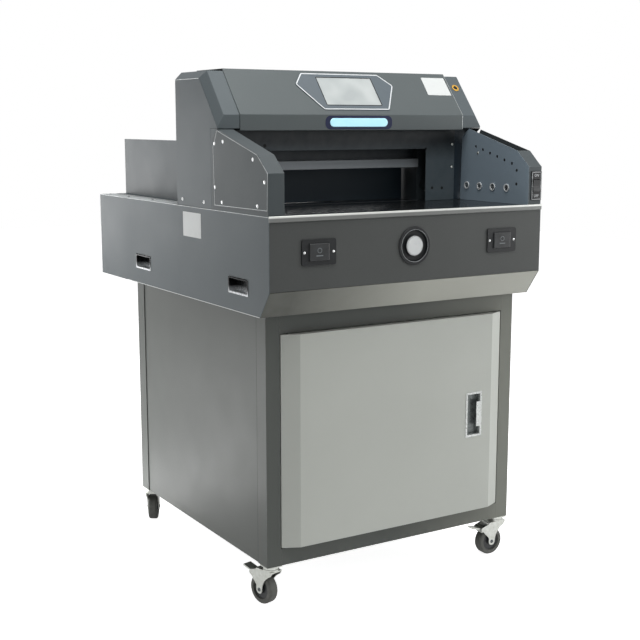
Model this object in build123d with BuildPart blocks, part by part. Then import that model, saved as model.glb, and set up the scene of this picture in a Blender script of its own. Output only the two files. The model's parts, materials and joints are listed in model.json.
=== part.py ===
from build123d import *
import math
import os

os.makedirs("parts", exist_ok=True)

# The machine: a cabinet on four casters carries a bed, and the bed carries the cutting head.
# The frame is x to the right, y towards the back and z up, with z zero on the floor.

# Driving sizes in millimetres
machine_width = 800.0
bed_depth = 1030.0
bed_height = 233.0
cabinet_inset = 27.5
cabinet_width = machine_width - 2 * cabinet_inset
cabinet_depth = 759.0
cabinet_height = 616.0
cabinet_setback = 69.0
caster_height = 104.0
head_height = 339.0
mouth_inset = 158.0
mouth_width = machine_width - 2 * mouth_inset
mouth_height = 139.0
cut_line_setback = 318.0

# Sheets, gaps and fits
sheet = 2.0
seam = 0.3
weld_gap = 0.2
running_gap = 0.06
soft_gap = 0.5
overrun = 5.0

# Cabinet
post_width = 38.0
post_depth = 45.0
tube_wall = 2.0
rail_depth = 36.0
bottom_rail_height = 42.0
top_rail_height = 46.0
panel_inset = 2.0
vent_length = 90.0
vent_height = 6.0
vent_pitch_x = 120.0
vent_pitch_z = 16.0
vent_columns = 3
vent_rows = 6

# Door
door_gap = 2.5
door_proud = 20.0
door_bevel = 42.0
door_return = 18.0
door_sheet = 1.5
hinge_inset = 20.0
hinge_depth = 4.0
hinge_pin_radius = 3.0
hinge_pin_reach = 12.0
pull_inset = 98.0
pull_drop = 0.0
pull_width = 52.0
pull_height = 119.0
pull_rim = 4.0
pull_flange = 1.2
pull_depth = 15.0
pull_corner = 3.0
pull_wall = 1.2
grip_width = 13.0
grip_margin = 22.0
catch_width = 16.0
catch_depth = 18.0
catch_height = 30.0

# Bed
bevel_run = 45.0
bevel_rise = 62.0
table_plate = 12.0
lip_proud = 3.0
lip_rise = 2.0
side_plate = 6.0
side_plate_inset = 26.0
side_plate_start = 60.0
side_plate_end = 10.0
cross_bar_depth = 40.0
cross_bar_height = 40.0
cross_bar_front = 120.0
cross_bar_rear = 860.0
stick_margin = 2.0
stick_width = mouth_width - 2 * stick_margin
stick_depth = 12.0
rod_slot_left_inset = 154.5
rod_slot_right_inset = 82.0
rod_slot_left = machine_width / 2 - rod_slot_left_inset
rod_slot_right = machine_width / 2 - rod_slot_right_inset
rod_slot_clear = 3.0
gauge_slot_width = 16.0
gauge_slot_start = 366.0
gauge_slot_end = 844.0
guard_side_inset = 73.0
guard_side_x = machine_width / 2 - guard_side_inset
guard_side_start = 488.0
guard_side_end = 1008.0
guard_side_height = 161.0
guard_foot = 30.0
cup_length = 100.0
cup_height = 40.0
cup_rim = 3.0
cup_flange = 1.0
cup_depth = 23.0
cup_wall = 1.2
cup_corner = 4.0
cup_front = 150.0
cup_rear = 715.0
cup_drop = 171.0
inlet_inset = 180.0
inlet_x = machine_width / 2 - inlet_inset
inlet_drop = 120.0
inlet_width = 52.0
inlet_height = 32.0
inlet_body_width = 46.0
inlet_body_height = 26.0
inlet_flange = 2.0
inlet_depth = 28.0
inlet_pocket = 18.0
inlet_corner = 4.0
inlet_pin = 2.4
inlet_pin_height = 9.0
inlet_pin_pitch = 9.0

# Controls on the bed front
knob_proud = 3.0
control_drop = 84.0
knob_radius = 46.5
knob_back_gap = 0.5
knob_bevel = 1.0
knob_step_radius = 38.5
knob_dish_radius = 36.0
knob_dish_depth = 7.0
knob_boss_radius = 26.0
knob_cap_radius = 24.0
knob_cap_depth = 4.0
knob_body_radius = 40.0
knob_body_depth = 11.0
knob_cup_gap = 1.0
knob_cup_depth = 13.0
knob_shaft_radius = 6.0
knob_collar_radius = 11.0
knob_collar = 5.0
button_inset = 130.0
button_x = machine_width / 2 - button_inset
bezel_width = 92.0
bezel_height = 60.0
bezel_flange = 3.0
bezel_corner = 5.0
bezel_body_width = 66.0
bezel_body_height = 52.0
bezel_depth = 30.0
bezel_floor = 3.0
button_width = 54.0
button_height = 41.0
button_gap = 0.35
button_proud = 3.0
button_depth = 20.0
button_corner = 3.0
button_round = 1.5
bezel_screw_x = 39.0
bezel_screw_radius = 2.2

# Side guards on the table
guard_thickness = 42.0
guard_front = 2.0
guard_front_rise = 97.0
guard_knee_run = 48.0
guard_knee_rise = 137.0
guard_peak_run = 247.0
guard_peak_rise = 192.0
guard_heel_run = 276.0
guard_heel_rise = 172.0
guard_back = 281.0
guard_flange = 24.0
sensor_radius = 4.0
sensor_first_run = 217.0
sensor_first_rise = 145.0
sensor_pitch_run = 29.6
sensor_pitch_rise = 8.2
sensor_count = 6
switch_inset = 17.0
switch_x = machine_width / 2 - switch_inset
switch_rise = 49.0
switch_width = 34.0
switch_height = 74.0
switch_plate = 2.0
switch_corner = 2.0
rocker_width = 25.0
rocker_height = 31.0
rocker_gap = 0.4
rocker_depth = 9.0
rocker_proud = 3.0
rocker_rake = 8.0

# Portal and head
plate_setback = 284.0
plate_thickness = 3.0
plate_rise = 195.0
upright_inset = 64.0
upright_width = 93.0
upright_outer = machine_width / 2 - upright_inset
upright_inner = upright_outer - upright_width
upright_setback = 326.0
upright_depth = 154.0
upright_height = 317.0
upright_chamfer = 8.0
relief_radius = 3.0
beam_setback = 372.0
beam_depth = 108.0
beam_base_rise = 177.0
beam_height = 100.0
beam_pocket_depth = 40.0
beam_pocket_height = 60.0
beam_pocket_margin = 33.0
beam_pocket_width = 2 * (upright_inner - beam_pocket_margin)
hood_inset = 62.0
hood_half = machine_width / 2 - hood_inset
hood_wall = 2.5
hood_front = 250.0
hood_base_rise = 189.0
hood_fold_rise = 228.0
hood_top_setback = 341.0
hood_back = 483.0
hood_lip = 284.0
cap_inset = 1.0
cap_outer = machine_width / 2 - cap_inset
cap_front = 286.0
cap_nose = 251.0
cap_nose_rise = 194.0
cap_fold_rise = 227.0
cap_top_setback = 337.0
cap_top_drop = 6.0
cap_chamfer = 18.0
cap_wall = 2.0
back_cover_rise = 157.0

# Screen and light bar on the hood
bezel_panel_proud = 1.5
screen_low_left = 94.0
screen_low_right = 104.0
screen_low_rise = 15.0
screen_wide_half = 149.0
screen_wide_rise = 97.0
screen_top_left = 121.0
screen_top_right = 113.0
screen_top_rise = 134.0
screen_corner = 9.0
lcd_width = 166.0
lcd_height = 90.0
lcd_x = 3.0
lcd_rise = 75.5
lcd_glass = 1.0
led_length = 175.0
led_height = 21.5
led_x = 4.0
led_proud = 2.0
led_rise = 208.5

# Knife
knife_drop = 144.5
knife_shift = 40.0
carrier_inset = 100.0
carrier_length = machine_width - 2 * carrier_inset
carrier_height = 100.0
carrier_thickness = 18.0
carrier_setback = 290.0
carrier_chamfer = 6.0
blade_inset = 45.0
blade_length = carrier_length - 2 * blade_inset
blade_height = 107.0
blade_thickness = 10.0
blade_gap = 0.3
blade_overhang = 10.0
blade_bevel = 24.0
blade_land = 0.6
bolt_radius = 6.0
bolt_pitch = 64.0
bolt_count = 8
slider_inset = 10.0
slider_x = carrier_length / 2 - slider_inset
slider_width = 26.0
slider_length = 60.0
slider_running_gap = 0.06
groove_depth = 12.0
groove_end_gap = 3.0
rod_width = 24.0
rod_thickness = 12.0
rod_overlap = 16.0
rod_eye_radius = 16.0
crank_drop = 48.75
crank_gap = 0.5
crank_pin_radius = 10.0
crank_pin_length = 9.5
crank_radius = 86.0
crank_thickness = 15.0
crank_window_radius = 16.0
crank_window_circle = 48.0
crank_window_count = 5
crank_shaft_radius = 12.0
crank_shaft_length = 34.0
gearmotor_gap = 3.0
gearmotor_width = 130.0
gearmotor_height = 124.0
gearmotor_depth = 70.0
motor_radius = 44.0
motor_length = 130.0
gearmotor_round = 10.0

# Clamp
clamp_half = upright_inner - seam
clamp_gap = 1.2
clamp_toe_depth = 46.5
clamp_toe_height = 23.0
clamp_rest_rise = 89.0
clamp_web_depth = 26.0
clamp_web_height = 105.0
clamp_screw_radius = 8.0
clamp_screw_inset = 13.0
clamp_bore_floor = 13.0
clamp_screw_clear = 5.0
clamp_screw_gap = 0.15
clamp_box_width = 120.0
clamp_box_depth = 84.0
clamp_box_height = 45.0
clamp_box_inset = 18.0
clamp_socket = 28.0
clamp_motor_radius = 20.0
clamp_motor_length = 90.0

# Backgauge
fence_end_gap = 6.0
fence_half = upright_inner - fence_end_gap
fence_setback = 390.0
fence_thickness = 12.0
fence_height = 87.0
neck_width = 12.0
neck_depth = 14.0
neck_rise = 50.0
carriage_width = 290.0
carriage_depth = 60.0
carriage_height = 46.0
carriage_drop = 6.0
rail_x = 120.0
rail_radius = 10.0
rail_drop = 41.0
screw_radius = 8.0
support_width = 300.0
support_thickness = 10.0
support_height = 62.0
support_front = 340.0
support_rear = 955.0
gauge_motor_size = 57.0
gauge_motor_length = 50.0
gauge_motor_round = 5.0

# Casters
caster_inset_x = 21.5
caster_inset_y = 20.0
swivel_offset = 25.0
caster_plate_size = 42.0
caster_plate = 3.0
raceway_radius = 19.0
raceway_height = 5.0
king_pin_radius = 5.0
fork_head_radius = 20.0
fork_head = 4.0
fork_gap = 0.5
fork_bridge = 3.0
fork_width = 34.0
fork_arm = 3.0
fork_shoulder = 38.0
axle_radius = 4.0
axle_end_radius = 10.0
wheel_radius = 37.5
wheel_width = 26.0
hub_radius = 22.0
hub_width = 27.4
hub_recess = 4.0
tread_round = 6.0
brake_reach = 48.0
brake_pin_radius = 2.5
brake_width = 24.0
brake_plate = 4.0
brake_length = 34.0
brake_cam = 9.4
brake_cam_width = 8.0
brake_ear = 6.5

# Angles in degrees
front_left_heading = 104.0
front_right_heading = 180.0
rear_left_heading = 60.0
rear_right_heading = 75.0
brake_cam_lead = 24.0
brake_tilt = 14.0

# Levels and stations worked out from the driving sizes
half_width = machine_width / 2
half_cabinet = cabinet_width / 2
bed_base = caster_height + cabinet_height
table_top = bed_base + bed_height
head_top = table_top + head_height
bed_front = -(bed_depth - knob_proud) / 2
bed_back = bed_front + bed_depth
cabinet_front = bed_front + cabinet_setback
cabinet_back = cabinet_front + cabinet_depth
cabinet_middle = (cabinet_front + cabinet_back) / 2
cover_inner = half_width - sheet
plate_base = table_top - table_plate
door_base = caster_height + bottom_rail_height + door_gap
door_height = cabinet_height - bottom_rail_height - top_rail_height - 2 * door_gap
door_half = half_cabinet - post_width - door_gap
door_face = cabinet_front - door_proud
door_back = cabinet_front + door_return
control_z = table_top - control_drop
knife_travel = math.hypot(knife_drop, knife_shift)
knife_lean = math.degrees(math.atan2(knife_shift, knife_drop))
rest_shift = knife_shift / 2


# Cabinet frame of four square tubes and eight rails, with the door's two hinge pins welded on
hinge_x = -door_half + hinge_inset
hinge_y = cabinet_front + hinge_depth
post_x = half_cabinet - post_width / 2
post_front = cabinet_front + post_depth / 2
post_rear = cabinet_back - post_depth / 2
post_places = [(sx * post_x, y) for sx in (-1, 1) for y in (post_front, post_rear)]
rail_reach = half_cabinet - post_width - weld_gap
rail_front = cabinet_front + rail_depth / 2
rail_rear = cabinet_back - panel_inset - sheet - rail_depth / 2
side_rail_x = half_cabinet - panel_inset - sheet - rail_depth / 2
side_rail_start = cabinet_front + post_depth + weld_gap
side_rail_length = cabinet_depth - 2 * (post_depth + weld_gap)
bottom_rail_z = caster_height + bottom_rail_height / 2
top_rail_z = bed_base - top_rail_height / 2


def tube_section(width, height):
    """Draw a hollow square tube's section at the current place."""
    Rectangle(width, height)
    Rectangle(width - 2 * tube_wall, height - 2 * tube_wall, mode=Mode.SUBTRACT)


with BuildPart() as cabinet_frame:
    with BuildSketch(Plane.XY.offset(caster_height)):
        with Locations(*post_places):
            tube_section(post_width, post_depth)
    extrude(amount=cabinet_height)
    with BuildSketch(Plane.YZ.offset(-rail_reach)):
        with Locations((rail_front, bottom_rail_z), (rail_rear, bottom_rail_z)):
            tube_section(rail_depth, bottom_rail_height)
        with Locations((rail_front, top_rail_z), (rail_rear, top_rail_z)):
            tube_section(rail_depth, top_rail_height)
    extrude(amount=2 * rail_reach)
    with BuildSketch(Plane.XZ.offset(-side_rail_start)):
        with Locations((-side_rail_x, bottom_rail_z), (side_rail_x, bottom_rail_z)):
            tube_section(rail_depth, bottom_rail_height)
        with Locations((-side_rail_x, top_rail_z), (side_rail_x, top_rail_z)):
            tube_section(rail_depth, top_rail_height)
    extrude(amount=-side_rail_length)
    with BuildSketch(Plane.XY.offset(caster_height + bottom_rail_height)):
        with Locations((hinge_x, hinge_y)):
            Circle(hinge_pin_radius)
    extrude(amount=hinge_pin_reach)
    with BuildSketch(Plane.XY.offset(bed_base - top_rail_height)):
        with Locations((hinge_x, hinge_y)):
            Circle(hinge_pin_radius)
    extrude(amount=-hinge_pin_reach)
cabinet_frame.part.label = "cabinet_frame"
export_step(cabinet_frame.part, "parts/cabinet_frame.step")


# Side, back and floor panels that close the cabinet between its posts
panel_length = cabinet_depth - 2 * (post_depth + seam)
panel_height = cabinet_height - 2 * seam
panel_z = caster_height + cabinet_height / 2
side_panel_x = half_cabinet - panel_inset - sheet
back_panel_y = cabinet_back - panel_inset - sheet
floor_z = caster_height + bottom_rail_height
floor_front = cabinet_front + rail_depth
floor_depth = back_panel_y - seam - floor_front
floor_half = side_panel_x - seam
notch_x = half_cabinet - post_width - seam

with BuildPart() as cabinet_panels:
    with BuildSketch(Plane.YZ.offset(side_panel_x)):
        with Locations((cabinet_middle, panel_z)):
            Rectangle(panel_length, panel_height)
    extrude(amount=sheet)
    mirror(about=Plane.YZ)
    with BuildSketch(Plane.XZ.offset(-back_panel_y)):
        with Locations((0, panel_z)):
            Rectangle(2 * (half_cabinet - post_width - seam), panel_height)
            with GridLocations(vent_pitch_x, vent_pitch_z, vent_columns, vent_rows):
                SlotOverall(vent_length, vent_height, mode=Mode.SUBTRACT)
    extrude(amount=-sheet)
    with BuildSketch(Plane.XY.offset(floor_z)):
        with Locations((0, floor_front + floor_depth / 2)):
            Rectangle(2 * floor_half, floor_depth)
        with Locations(*post_places):
            Rectangle(post_width + 2 * seam, post_depth + 2 * seam, mode=Mode.SUBTRACT)
        with Locations((-half_cabinet, floor_front), (half_cabinet, floor_front)):
            Rectangle(2 * (half_cabinet - notch_x), 2 * post_depth, mode=Mode.SUBTRACT)
    extrude(amount=sheet)
cabinet_panels.part.label = "cabinet_panels"
export_step(cabinet_panels.part, "parts/cabinet_panels.step")


# Door: a folded tray with a raised middle, open at the back, hung on two pins at its left edge
pull_x = door_half - pull_inset
pull_z = door_base + door_height / 2 - pull_drop

with BuildPart() as door:
    with BuildSketch(Plane.XY.offset(door_base)):
        with BuildLine():
            Polyline(
                (-door_half, door_back),
                (-door_half, cabinet_front),
                (-door_half + door_bevel, door_face),
                (door_half - door_bevel, door_face),
                (door_half, cabinet_front),
                (door_half, door_back),
                close=True,
            )
        make_face()
    extrude(amount=door_height)
    offset(amount=-door_sheet, openings=door.faces().sort_by(Axis.Y)[-1], kind=Kind.INTERSECTION)
    with BuildSketch(Plane.XZ.offset(-door_face)):
        with Locations((pull_x, pull_z)):
            RectangleRounded(pull_width - 2 * pull_rim, pull_height - 2 * pull_rim, pull_corner)
    extrude(amount=-2 * door_sheet, mode=Mode.SUBTRACT)
    with BuildSketch(Plane.XY.offset(door_base)):
        with Locations((hinge_x, hinge_y)):
            Circle(hinge_pin_radius + running_gap)
    extrude(amount=door_height, mode=Mode.SUBTRACT)
door.part.label = "door"
export_step(door.part, "parts/door.step")

# Recessed pull: a rim on the door's face, a dish behind it and a grip along its right side
pull_dish_width = pull_width - 2 * (pull_rim + seam)
pull_dish_height = pull_height - 2 * (pull_rim + seam)
grip_x = pull_x + pull_dish_width / 2 - grip_width / 2
with BuildPart() as door_pull:
    with BuildSketch(Plane.XZ.offset(-door_face)):
        with Locations((pull_x, pull_z)):
            RectangleRounded(pull_width, pull_height, pull_corner)
    extrude(amount=pull_flange)
    with BuildSketch(Plane.XZ.offset(-door_face)):
        with Locations((pull_x, pull_z)):
            RectangleRounded(pull_dish_width, pull_dish_height, pull_corner)
    extrude(amount=-pull_depth)
    with BuildSketch(Plane.XZ.offset(-door_face + pull_flange)):
        with Locations((pull_x, pull_z)):
            Rectangle(pull_dish_width - 2 * pull_wall, pull_dish_height - 2 * pull_wall)
    extrude(amount=pull_wall - pull_flange - pull_depth, mode=Mode.SUBTRACT)
    with BuildSketch(Plane.XZ.offset(-door_face + pull_flange)):
        with Locations((grip_x, pull_z)):
            Rectangle(grip_width, pull_dish_height - 2 * grip_margin)
    extrude(amount=-pull_wall - pull_flange)
door_pull.part.label = "door_pull"
export_step(door_pull.part, "parts/door_pull.step")

with BuildPart() as door_catch:
    with BuildSketch(Plane.XY.offset(pull_z - catch_height / 2)):
        with Locations((half_cabinet - post_width - catch_width / 2, door_back + soft_gap + catch_depth / 2)):
            Rectangle(catch_width, catch_depth)
    extrude(amount=catch_height)
    chamfer(door_catch.edges().filter_by(Axis.Z).group_by(Axis.X)[0], length=sheet)
door_catch.part.label = "door_catch"
export_step(door_catch.part, "parts/door_catch.step")


# Bed frame: two deep side plates, two cross bars and the pan below them
side_plate_x = half_width - side_plate_inset - side_plate
side_plate_y = bed_front + side_plate_start
side_plate_length = bed_depth - side_plate_start - side_plate_end
side_plate_height = plate_base - bed_base - sheet
pan_front = bed_front + bevel_run + 2 * sheet
pan_back = bed_back - sheet

with BuildPart() as bed_frame:
    with BuildSketch(Plane.XY.offset(bed_base + sheet + weld_gap)):
        with Locations((side_plate_x + side_plate / 2, side_plate_y + side_plate_length / 2)):
            Rectangle(side_plate, side_plate_length)
        mirror(about=Plane.YZ)
    extrude(amount=side_plate_height - weld_gap)
    with BuildSketch(Plane.XY.offset(bed_base + sheet + weld_gap)):
        for bar_start in (cross_bar_front, cross_bar_rear):
            with Locations((0, bed_front + bar_start + cross_bar_depth / 2)):
                Rectangle(2 * (side_plate_x - weld_gap), cross_bar_depth)
    extrude(amount=cross_bar_height)
    with BuildSketch(Plane.XY.offset(bed_base)):
        with Locations((0, (pan_front + pan_back) / 2)):
            Rectangle(2 * cover_inner, pan_back - pan_front)
    extrude(amount=sheet)
bed_frame.part.label = "bed_frame"
export_step(bed_frame.part, "parts/bed_frame.step")


# Bed covers on both sides, with a hole for each carry cup
cup_z = table_top - cup_drop
cup_places = [(bed_front + cup_front, cup_z), (bed_front + cup_rear, cup_z)]

with BuildPart() as bed_covers:
    with BuildSketch(Plane.YZ.offset(cover_inner)):
        with BuildLine():
            Polyline(
                (bed_front, table_top),
                (bed_front, bed_base + bevel_rise),
                (bed_front + bevel_run, bed_base),
                (bed_back, bed_base),
                (bed_back, table_top),
                close=True,
            )
        make_face()
        with Locations(*cup_places):
            Rectangle(cup_length - 2 * cup_rim, cup_height - 2 * cup_rim, mode=Mode.SUBTRACT)
    extrude(amount=sheet)
    mirror(about=Plane.YZ)
bed_covers.part.label = "bed_covers"
export_step(bed_covers.part, "parts/bed_covers.step")

# Carry cups: a rim on the cover and a dish behind it, for the fingers
cup_dish_length = cup_length - 2 * (cup_rim + seam)
cup_dish_height = cup_height - 2 * (cup_rim + seam)
with BuildPart() as carry_cups:
    with BuildSketch(Plane.YZ.offset(half_width)):
        with Locations(*cup_places):
            RectangleRounded(cup_length, cup_height, cup_corner)
    extrude(amount=cup_flange)
    with BuildSketch(Plane.YZ.offset(half_width)):
        with Locations(*cup_places):
            Rectangle(cup_dish_length, cup_dish_height)
    extrude(amount=-cup_depth)
    with BuildSketch(Plane.YZ.offset(half_width + cup_flange)):
        with Locations(*cup_places):
            Rectangle(cup_dish_length - 2 * cup_wall, cup_dish_height - 2 * cup_wall)
    extrude(amount=cup_wall - cup_depth - cup_flange, mode=Mode.SUBTRACT)
    mirror(about=Plane.YZ)
carry_cups.part.label = "carry_cups"
export_step(carry_cups.part, "parts/carry_cups.step")


# Front panel with its cut-outs, and the pale bevelled band below it
bevel_length = math.hypot(bevel_run, bevel_rise)
bevel_in_y = sheet * bevel_rise / bevel_length
bevel_in_z = sheet * bevel_run / bevel_length
bevel_top = bed_base + bevel_rise
panel_base = bevel_top + bevel_in_z + seam
knob_cup_radius = knob_body_radius + knob_cup_gap
knob_cup_back = bed_front + knob_cup_depth

with BuildPart() as front_panel:
    with BuildSketch(Plane.XZ.offset(-bed_front)):
        with Locations((0, (panel_base + plate_base) / 2)):
            Rectangle(2 * cover_inner, plate_base - panel_base)
        with Locations((-button_x, control_z), (button_x, control_z)):
            Rectangle(bezel_body_width + 2 * seam, bezel_body_height + 2 * seam, mode=Mode.SUBTRACT)
        with Locations((0, control_z)):
            Circle(knob_cup_radius, mode=Mode.SUBTRACT)
    extrude(amount=-sheet)
    with BuildSketch(Plane.XZ.offset(-(bed_front + sheet))):
        with Locations((0, control_z)):
            Circle(knob_cup_radius + sheet)
            Circle(knob_cup_radius, mode=Mode.SUBTRACT)
    extrude(amount=sheet - knob_cup_depth)
    with BuildSketch(Plane.XZ.offset(-knob_cup_back)):
        with Locations((0, control_z)):
            Circle(knob_cup_radius + sheet)
            Circle(knob_shaft_radius + running_gap, mode=Mode.SUBTRACT)
    extrude(amount=sheet)
front_panel.part.label = "front_panel"
export_step(front_panel.part, "parts/front_panel.step")

with BuildPart() as front_bevel:
    with BuildSketch(Plane.YZ.offset(-cover_inner)):
        with BuildLine():
            Polyline(
                (bed_front, bevel_top),
                (bed_front + bevel_run, bed_base),
                (bed_front + bevel_run + bevel_in_y, bed_base + bevel_in_z),
                (bed_front + bevel_in_y, bevel_top + bevel_in_z),
                close=True,
            )
        make_face()
    extrude(amount=2 * cover_inner)
front_bevel.part.label = "front_bevel"
export_step(front_bevel.part, "parts/front_bevel.step")

inlet_z = table_top - inlet_drop
with BuildPart() as rear_panel:
    with BuildSketch(Plane.XZ.offset(-pan_back)):
        with Locations((0, (bed_base + table_top) / 2)):
            Rectangle(2 * cover_inner, bed_height)
        with Locations((inlet_x, inlet_z)):
            Rectangle(inlet_body_width + 2 * seam, inlet_body_height + 2 * seam, mode=Mode.SUBTRACT)
    extrude(amount=-sheet)
rear_panel.part.label = "rear_panel"
export_step(rear_panel.part, "parts/rear_panel.step")

# Mains inlet, set in flush from behind, with three blades in its socket
with BuildPart() as power_inlet:
    with BuildSketch(Plane.XZ.offset(-pan_back)):
        with Locations((inlet_x, inlet_z)):
            Rectangle(inlet_width, inlet_height)
    extrude(amount=inlet_flange)
    with BuildSketch(Plane.XZ.offset(-pan_back)):
        with Locations((inlet_x, inlet_z)):
            Rectangle(inlet_body_width, inlet_body_height)
    extrude(amount=-sheet)
    with BuildSketch(Plane.XZ.offset(-pan_back)):
        with Locations((inlet_x, inlet_z)):
            Rectangle(inlet_body_width, inlet_body_height)
    extrude(amount=inlet_depth)
    with BuildSketch(Plane.XZ.offset(-bed_back)):
        with Locations((inlet_x, inlet_z)):
            RectangleRounded(inlet_body_width - 2 * inlet_corner, inlet_body_height - inlet_corner, inlet_corner)
    extrude(amount=inlet_pocket, mode=Mode.SUBTRACT)
    with BuildSketch(Plane.XZ.offset(inlet_pocket + soft_gap - bed_back)):
        with Locations((inlet_x, inlet_z)):
            with GridLocations(inlet_pin_pitch, inlet_pin_pitch, 3, 1):
                Rectangle(inlet_pin, inlet_pin_height)
    extrude(amount=-inlet_pocket)
power_inlet.part.label = "power_inlet"
export_step(power_inlet.part, "parts/power_inlet.step")


# Tables: the front table, the cutting stick in its pocket and the slotted rear table
cut_line = bed_front + cut_line_setback
stick_front = cut_line - stick_depth / 2
stick_back = cut_line + stick_depth / 2
front_table_back = stick_back + seam / 2
rod_front = bed_front + carrier_setback + carrier_thickness
slot_front = rod_front - rod_slot_clear

with BuildPart() as front_table:
    with BuildSketch(Plane.XY.offset(plate_base)):
        with Locations((0, (bed_front + front_table_back) / 2)):
            Rectangle(2 * cover_inner, front_table_back - bed_front)
        with Locations((0, front_table_back)):
            Rectangle(stick_width + 2 * seam, 2 * (stick_depth + seam), mode=Mode.SUBTRACT)
        with Locations(((rod_slot_left + rod_slot_right) / 2, front_table_back)):
            Rectangle(rod_slot_right - rod_slot_left, 2 * (front_table_back - slot_front), mode=Mode.SUBTRACT)
    extrude(amount=table_plate)
front_table.part.label = "front_table"
export_step(front_table.part, "parts/front_table.step")

with BuildPart() as table_lip:
    with BuildSketch(Plane.YZ.offset(-half_width)):
        with Locations((bed_front - lip_proud / 2, plate_base + (table_plate + lip_rise) / 2)):
            Rectangle(lip_proud, table_plate + lip_rise)
    extrude(amount=machine_width)
    chamfer(table_lip.edges().filter_by(Axis.X).group_by(Axis.Y)[0], length=lip_proud / 3)
table_lip.part.label = "table_lip"
export_step(table_lip.part, "parts/table_lip.step")

with BuildPart() as cutting_stick:
    with BuildSketch(Plane.XY.offset(plate_base)):
        with Locations((0, cut_line)):
            Rectangle(stick_width, stick_depth)
    extrude(amount=table_plate)
cutting_stick.part.label = "cutting_stick"
export_step(cutting_stick.part, "parts/cutting_stick.step")

rear_table_front = front_table_back + seam / 2
with BuildPart() as rear_table:
    with BuildSketch(Plane.XY.offset(plate_base)):
        with Locations((0, (rear_table_front + pan_back) / 2)):
            Rectangle(2 * cover_inner, pan_back - rear_table_front)
        with Locations((0, bed_front + (gauge_slot_start + gauge_slot_end) / 2)):
            Rectangle(gauge_slot_width, gauge_slot_end - gauge_slot_start, mode=Mode.SUBTRACT)
    extrude(amount=table_plate)
rear_table.part.label = "rear_table"
export_step(rear_table.part, "parts/rear_table.step")

# Low side walls of the rear table, folded out at the foot
guard_wall_length = guard_side_end - guard_side_start
guard_wall_y = bed_front + (guard_side_start + guard_side_end) / 2
with BuildPart() as rear_guards:
    with BuildSketch(Plane.YZ.offset(guard_side_x - sheet)):
        with Locations((guard_wall_y, table_top + guard_side_height / 2)):
            Rectangle(guard_wall_length, guard_side_height)
    extrude(amount=sheet)
    with BuildSketch(Plane.XY.offset(table_top)):
        with Locations((guard_side_x + guard_foot / 2 - sheet / 2, guard_wall_y)):
            Rectangle(guard_foot + sheet, guard_wall_length)
    extrude(amount=sheet)
    mirror(about=Plane.YZ)
rear_guards.part.label = "rear_guards"
export_step(rear_guards.part, "parts/rear_guards.step")


# Uprights with the leaning grooves that guide the knife
upright_front = bed_front + upright_setback
upright_middle = (upright_inner + upright_outer) / 2
carrier_front = bed_front + carrier_setback
carrier_base = table_top + knife_drop + blade_overhang + soft_gap
slider_rest_z = carrier_base + carrier_height / 2
groove_z = slider_rest_z - knife_drop / 2
groove_length = knife_travel + slider_length + 2 * groove_end_gap

with BuildPart() as uprights:
    with BuildSketch(Plane.XY.offset(table_top)):
        with Locations((upright_middle, upright_front + upright_depth / 2)):
            Rectangle(upright_outer - upright_inner, upright_depth)
        mirror(about=Plane.YZ)
    extrude(amount=upright_height)
    chamfer(uprights.edges().filter_by(Axis.X).group_by(Axis.Z)[-1], length=upright_chamfer)
    with BuildSketch(Plane.XZ.offset(-upright_front)):
        with Locations((-slider_x, groove_z), (slider_x, groove_z)):
            Rectangle(slider_width, groove_length, rotation=-knife_lean)
    extrude(amount=-groove_depth, mode=Mode.SUBTRACT)
uprights.part.label = "uprights"
export_step(uprights.part, "parts/uprights.step")

# Cross beam between the uprights, pocketed at the front
beam_front = bed_front + beam_setback
beam_base = table_top + beam_base_rise
beam_top = beam_base + beam_height
with BuildPart() as crossbeam:
    with BuildSketch(Plane.XY.offset(beam_base)):
        with Locations((0, beam_front + beam_depth / 2)):
            Rectangle(2 * upright_inner, beam_depth)
    extrude(amount=beam_height)
    with BuildSketch(Plane.XZ.offset(-(beam_front + beam_depth))):
        with Locations((0, beam_base + beam_height / 2)):
            Rectangle(beam_pocket_width, beam_pocket_height)
    extrude(amount=beam_pocket_depth, mode=Mode.SUBTRACT)
crossbeam.part.label = "crossbeam"
export_step(crossbeam.part, "parts/crossbeam.step")

# Portal plate that frames the paper mouth, relieved at its upper corners
plate_front = bed_front + plate_setback
mouth_half = mouth_width / 2
plate_half = hood_half - seam
with BuildPart() as front_plate:
    with BuildSketch(Plane.XZ.offset(-plate_front)):
        with Locations((0, table_top + seam + plate_rise / 2)):
            Rectangle(2 * plate_half, plate_rise)
        with Locations((0, table_top + mouth_height / 2)):
            Rectangle(mouth_width, mouth_height, mode=Mode.SUBTRACT)
        with Locations((-mouth_half, table_top + mouth_height), (mouth_half, table_top + mouth_height)):
            Circle(relief_radius, mode=Mode.SUBTRACT)
    extrude(amount=-plate_thickness)
front_plate.part.label = "front_plate"
export_step(front_plate.part, "parts/front_plate.step")


# Hood: one folded sheet over the front, the sloping face and the top
hood_y = bed_front + hood_front
hood_base = table_top + hood_base_rise
hood_fold = table_top + hood_fold_rise
hood_top_y = bed_front + hood_top_setback
hood_end = bed_front + hood_back
hood_lip_y = bed_front + hood_lip
hood_inside_top = head_top - hood_wall
with BuildPart() as hood_cover:
    with BuildSketch(Plane.YZ.offset(-hood_half)):
        with BuildLine():
            Polyline(
                (hood_y, hood_base),
                (hood_y, hood_fold),
                (hood_top_y, head_top),
                (hood_end, head_top),
                (hood_end, hood_base),
                close=True,
            )
        make_face()
        offset(amount=-hood_wall, kind=Kind.INTERSECTION, mode=Mode.SUBTRACT)
        with Locations(((hood_lip_y + hood_end) / 2 + overrun, hood_base)):
            Rectangle(hood_end - hood_lip_y + 2 * overrun, 2 * (hood_wall + seam), mode=Mode.SUBTRACT)
        with Locations((hood_end, (hood_base + hood_inside_top) / 2)):
            Rectangle(2 * (hood_wall + seam), hood_inside_top - hood_base, mode=Mode.SUBTRACT)
    extrude(amount=2 * hood_half)
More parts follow.
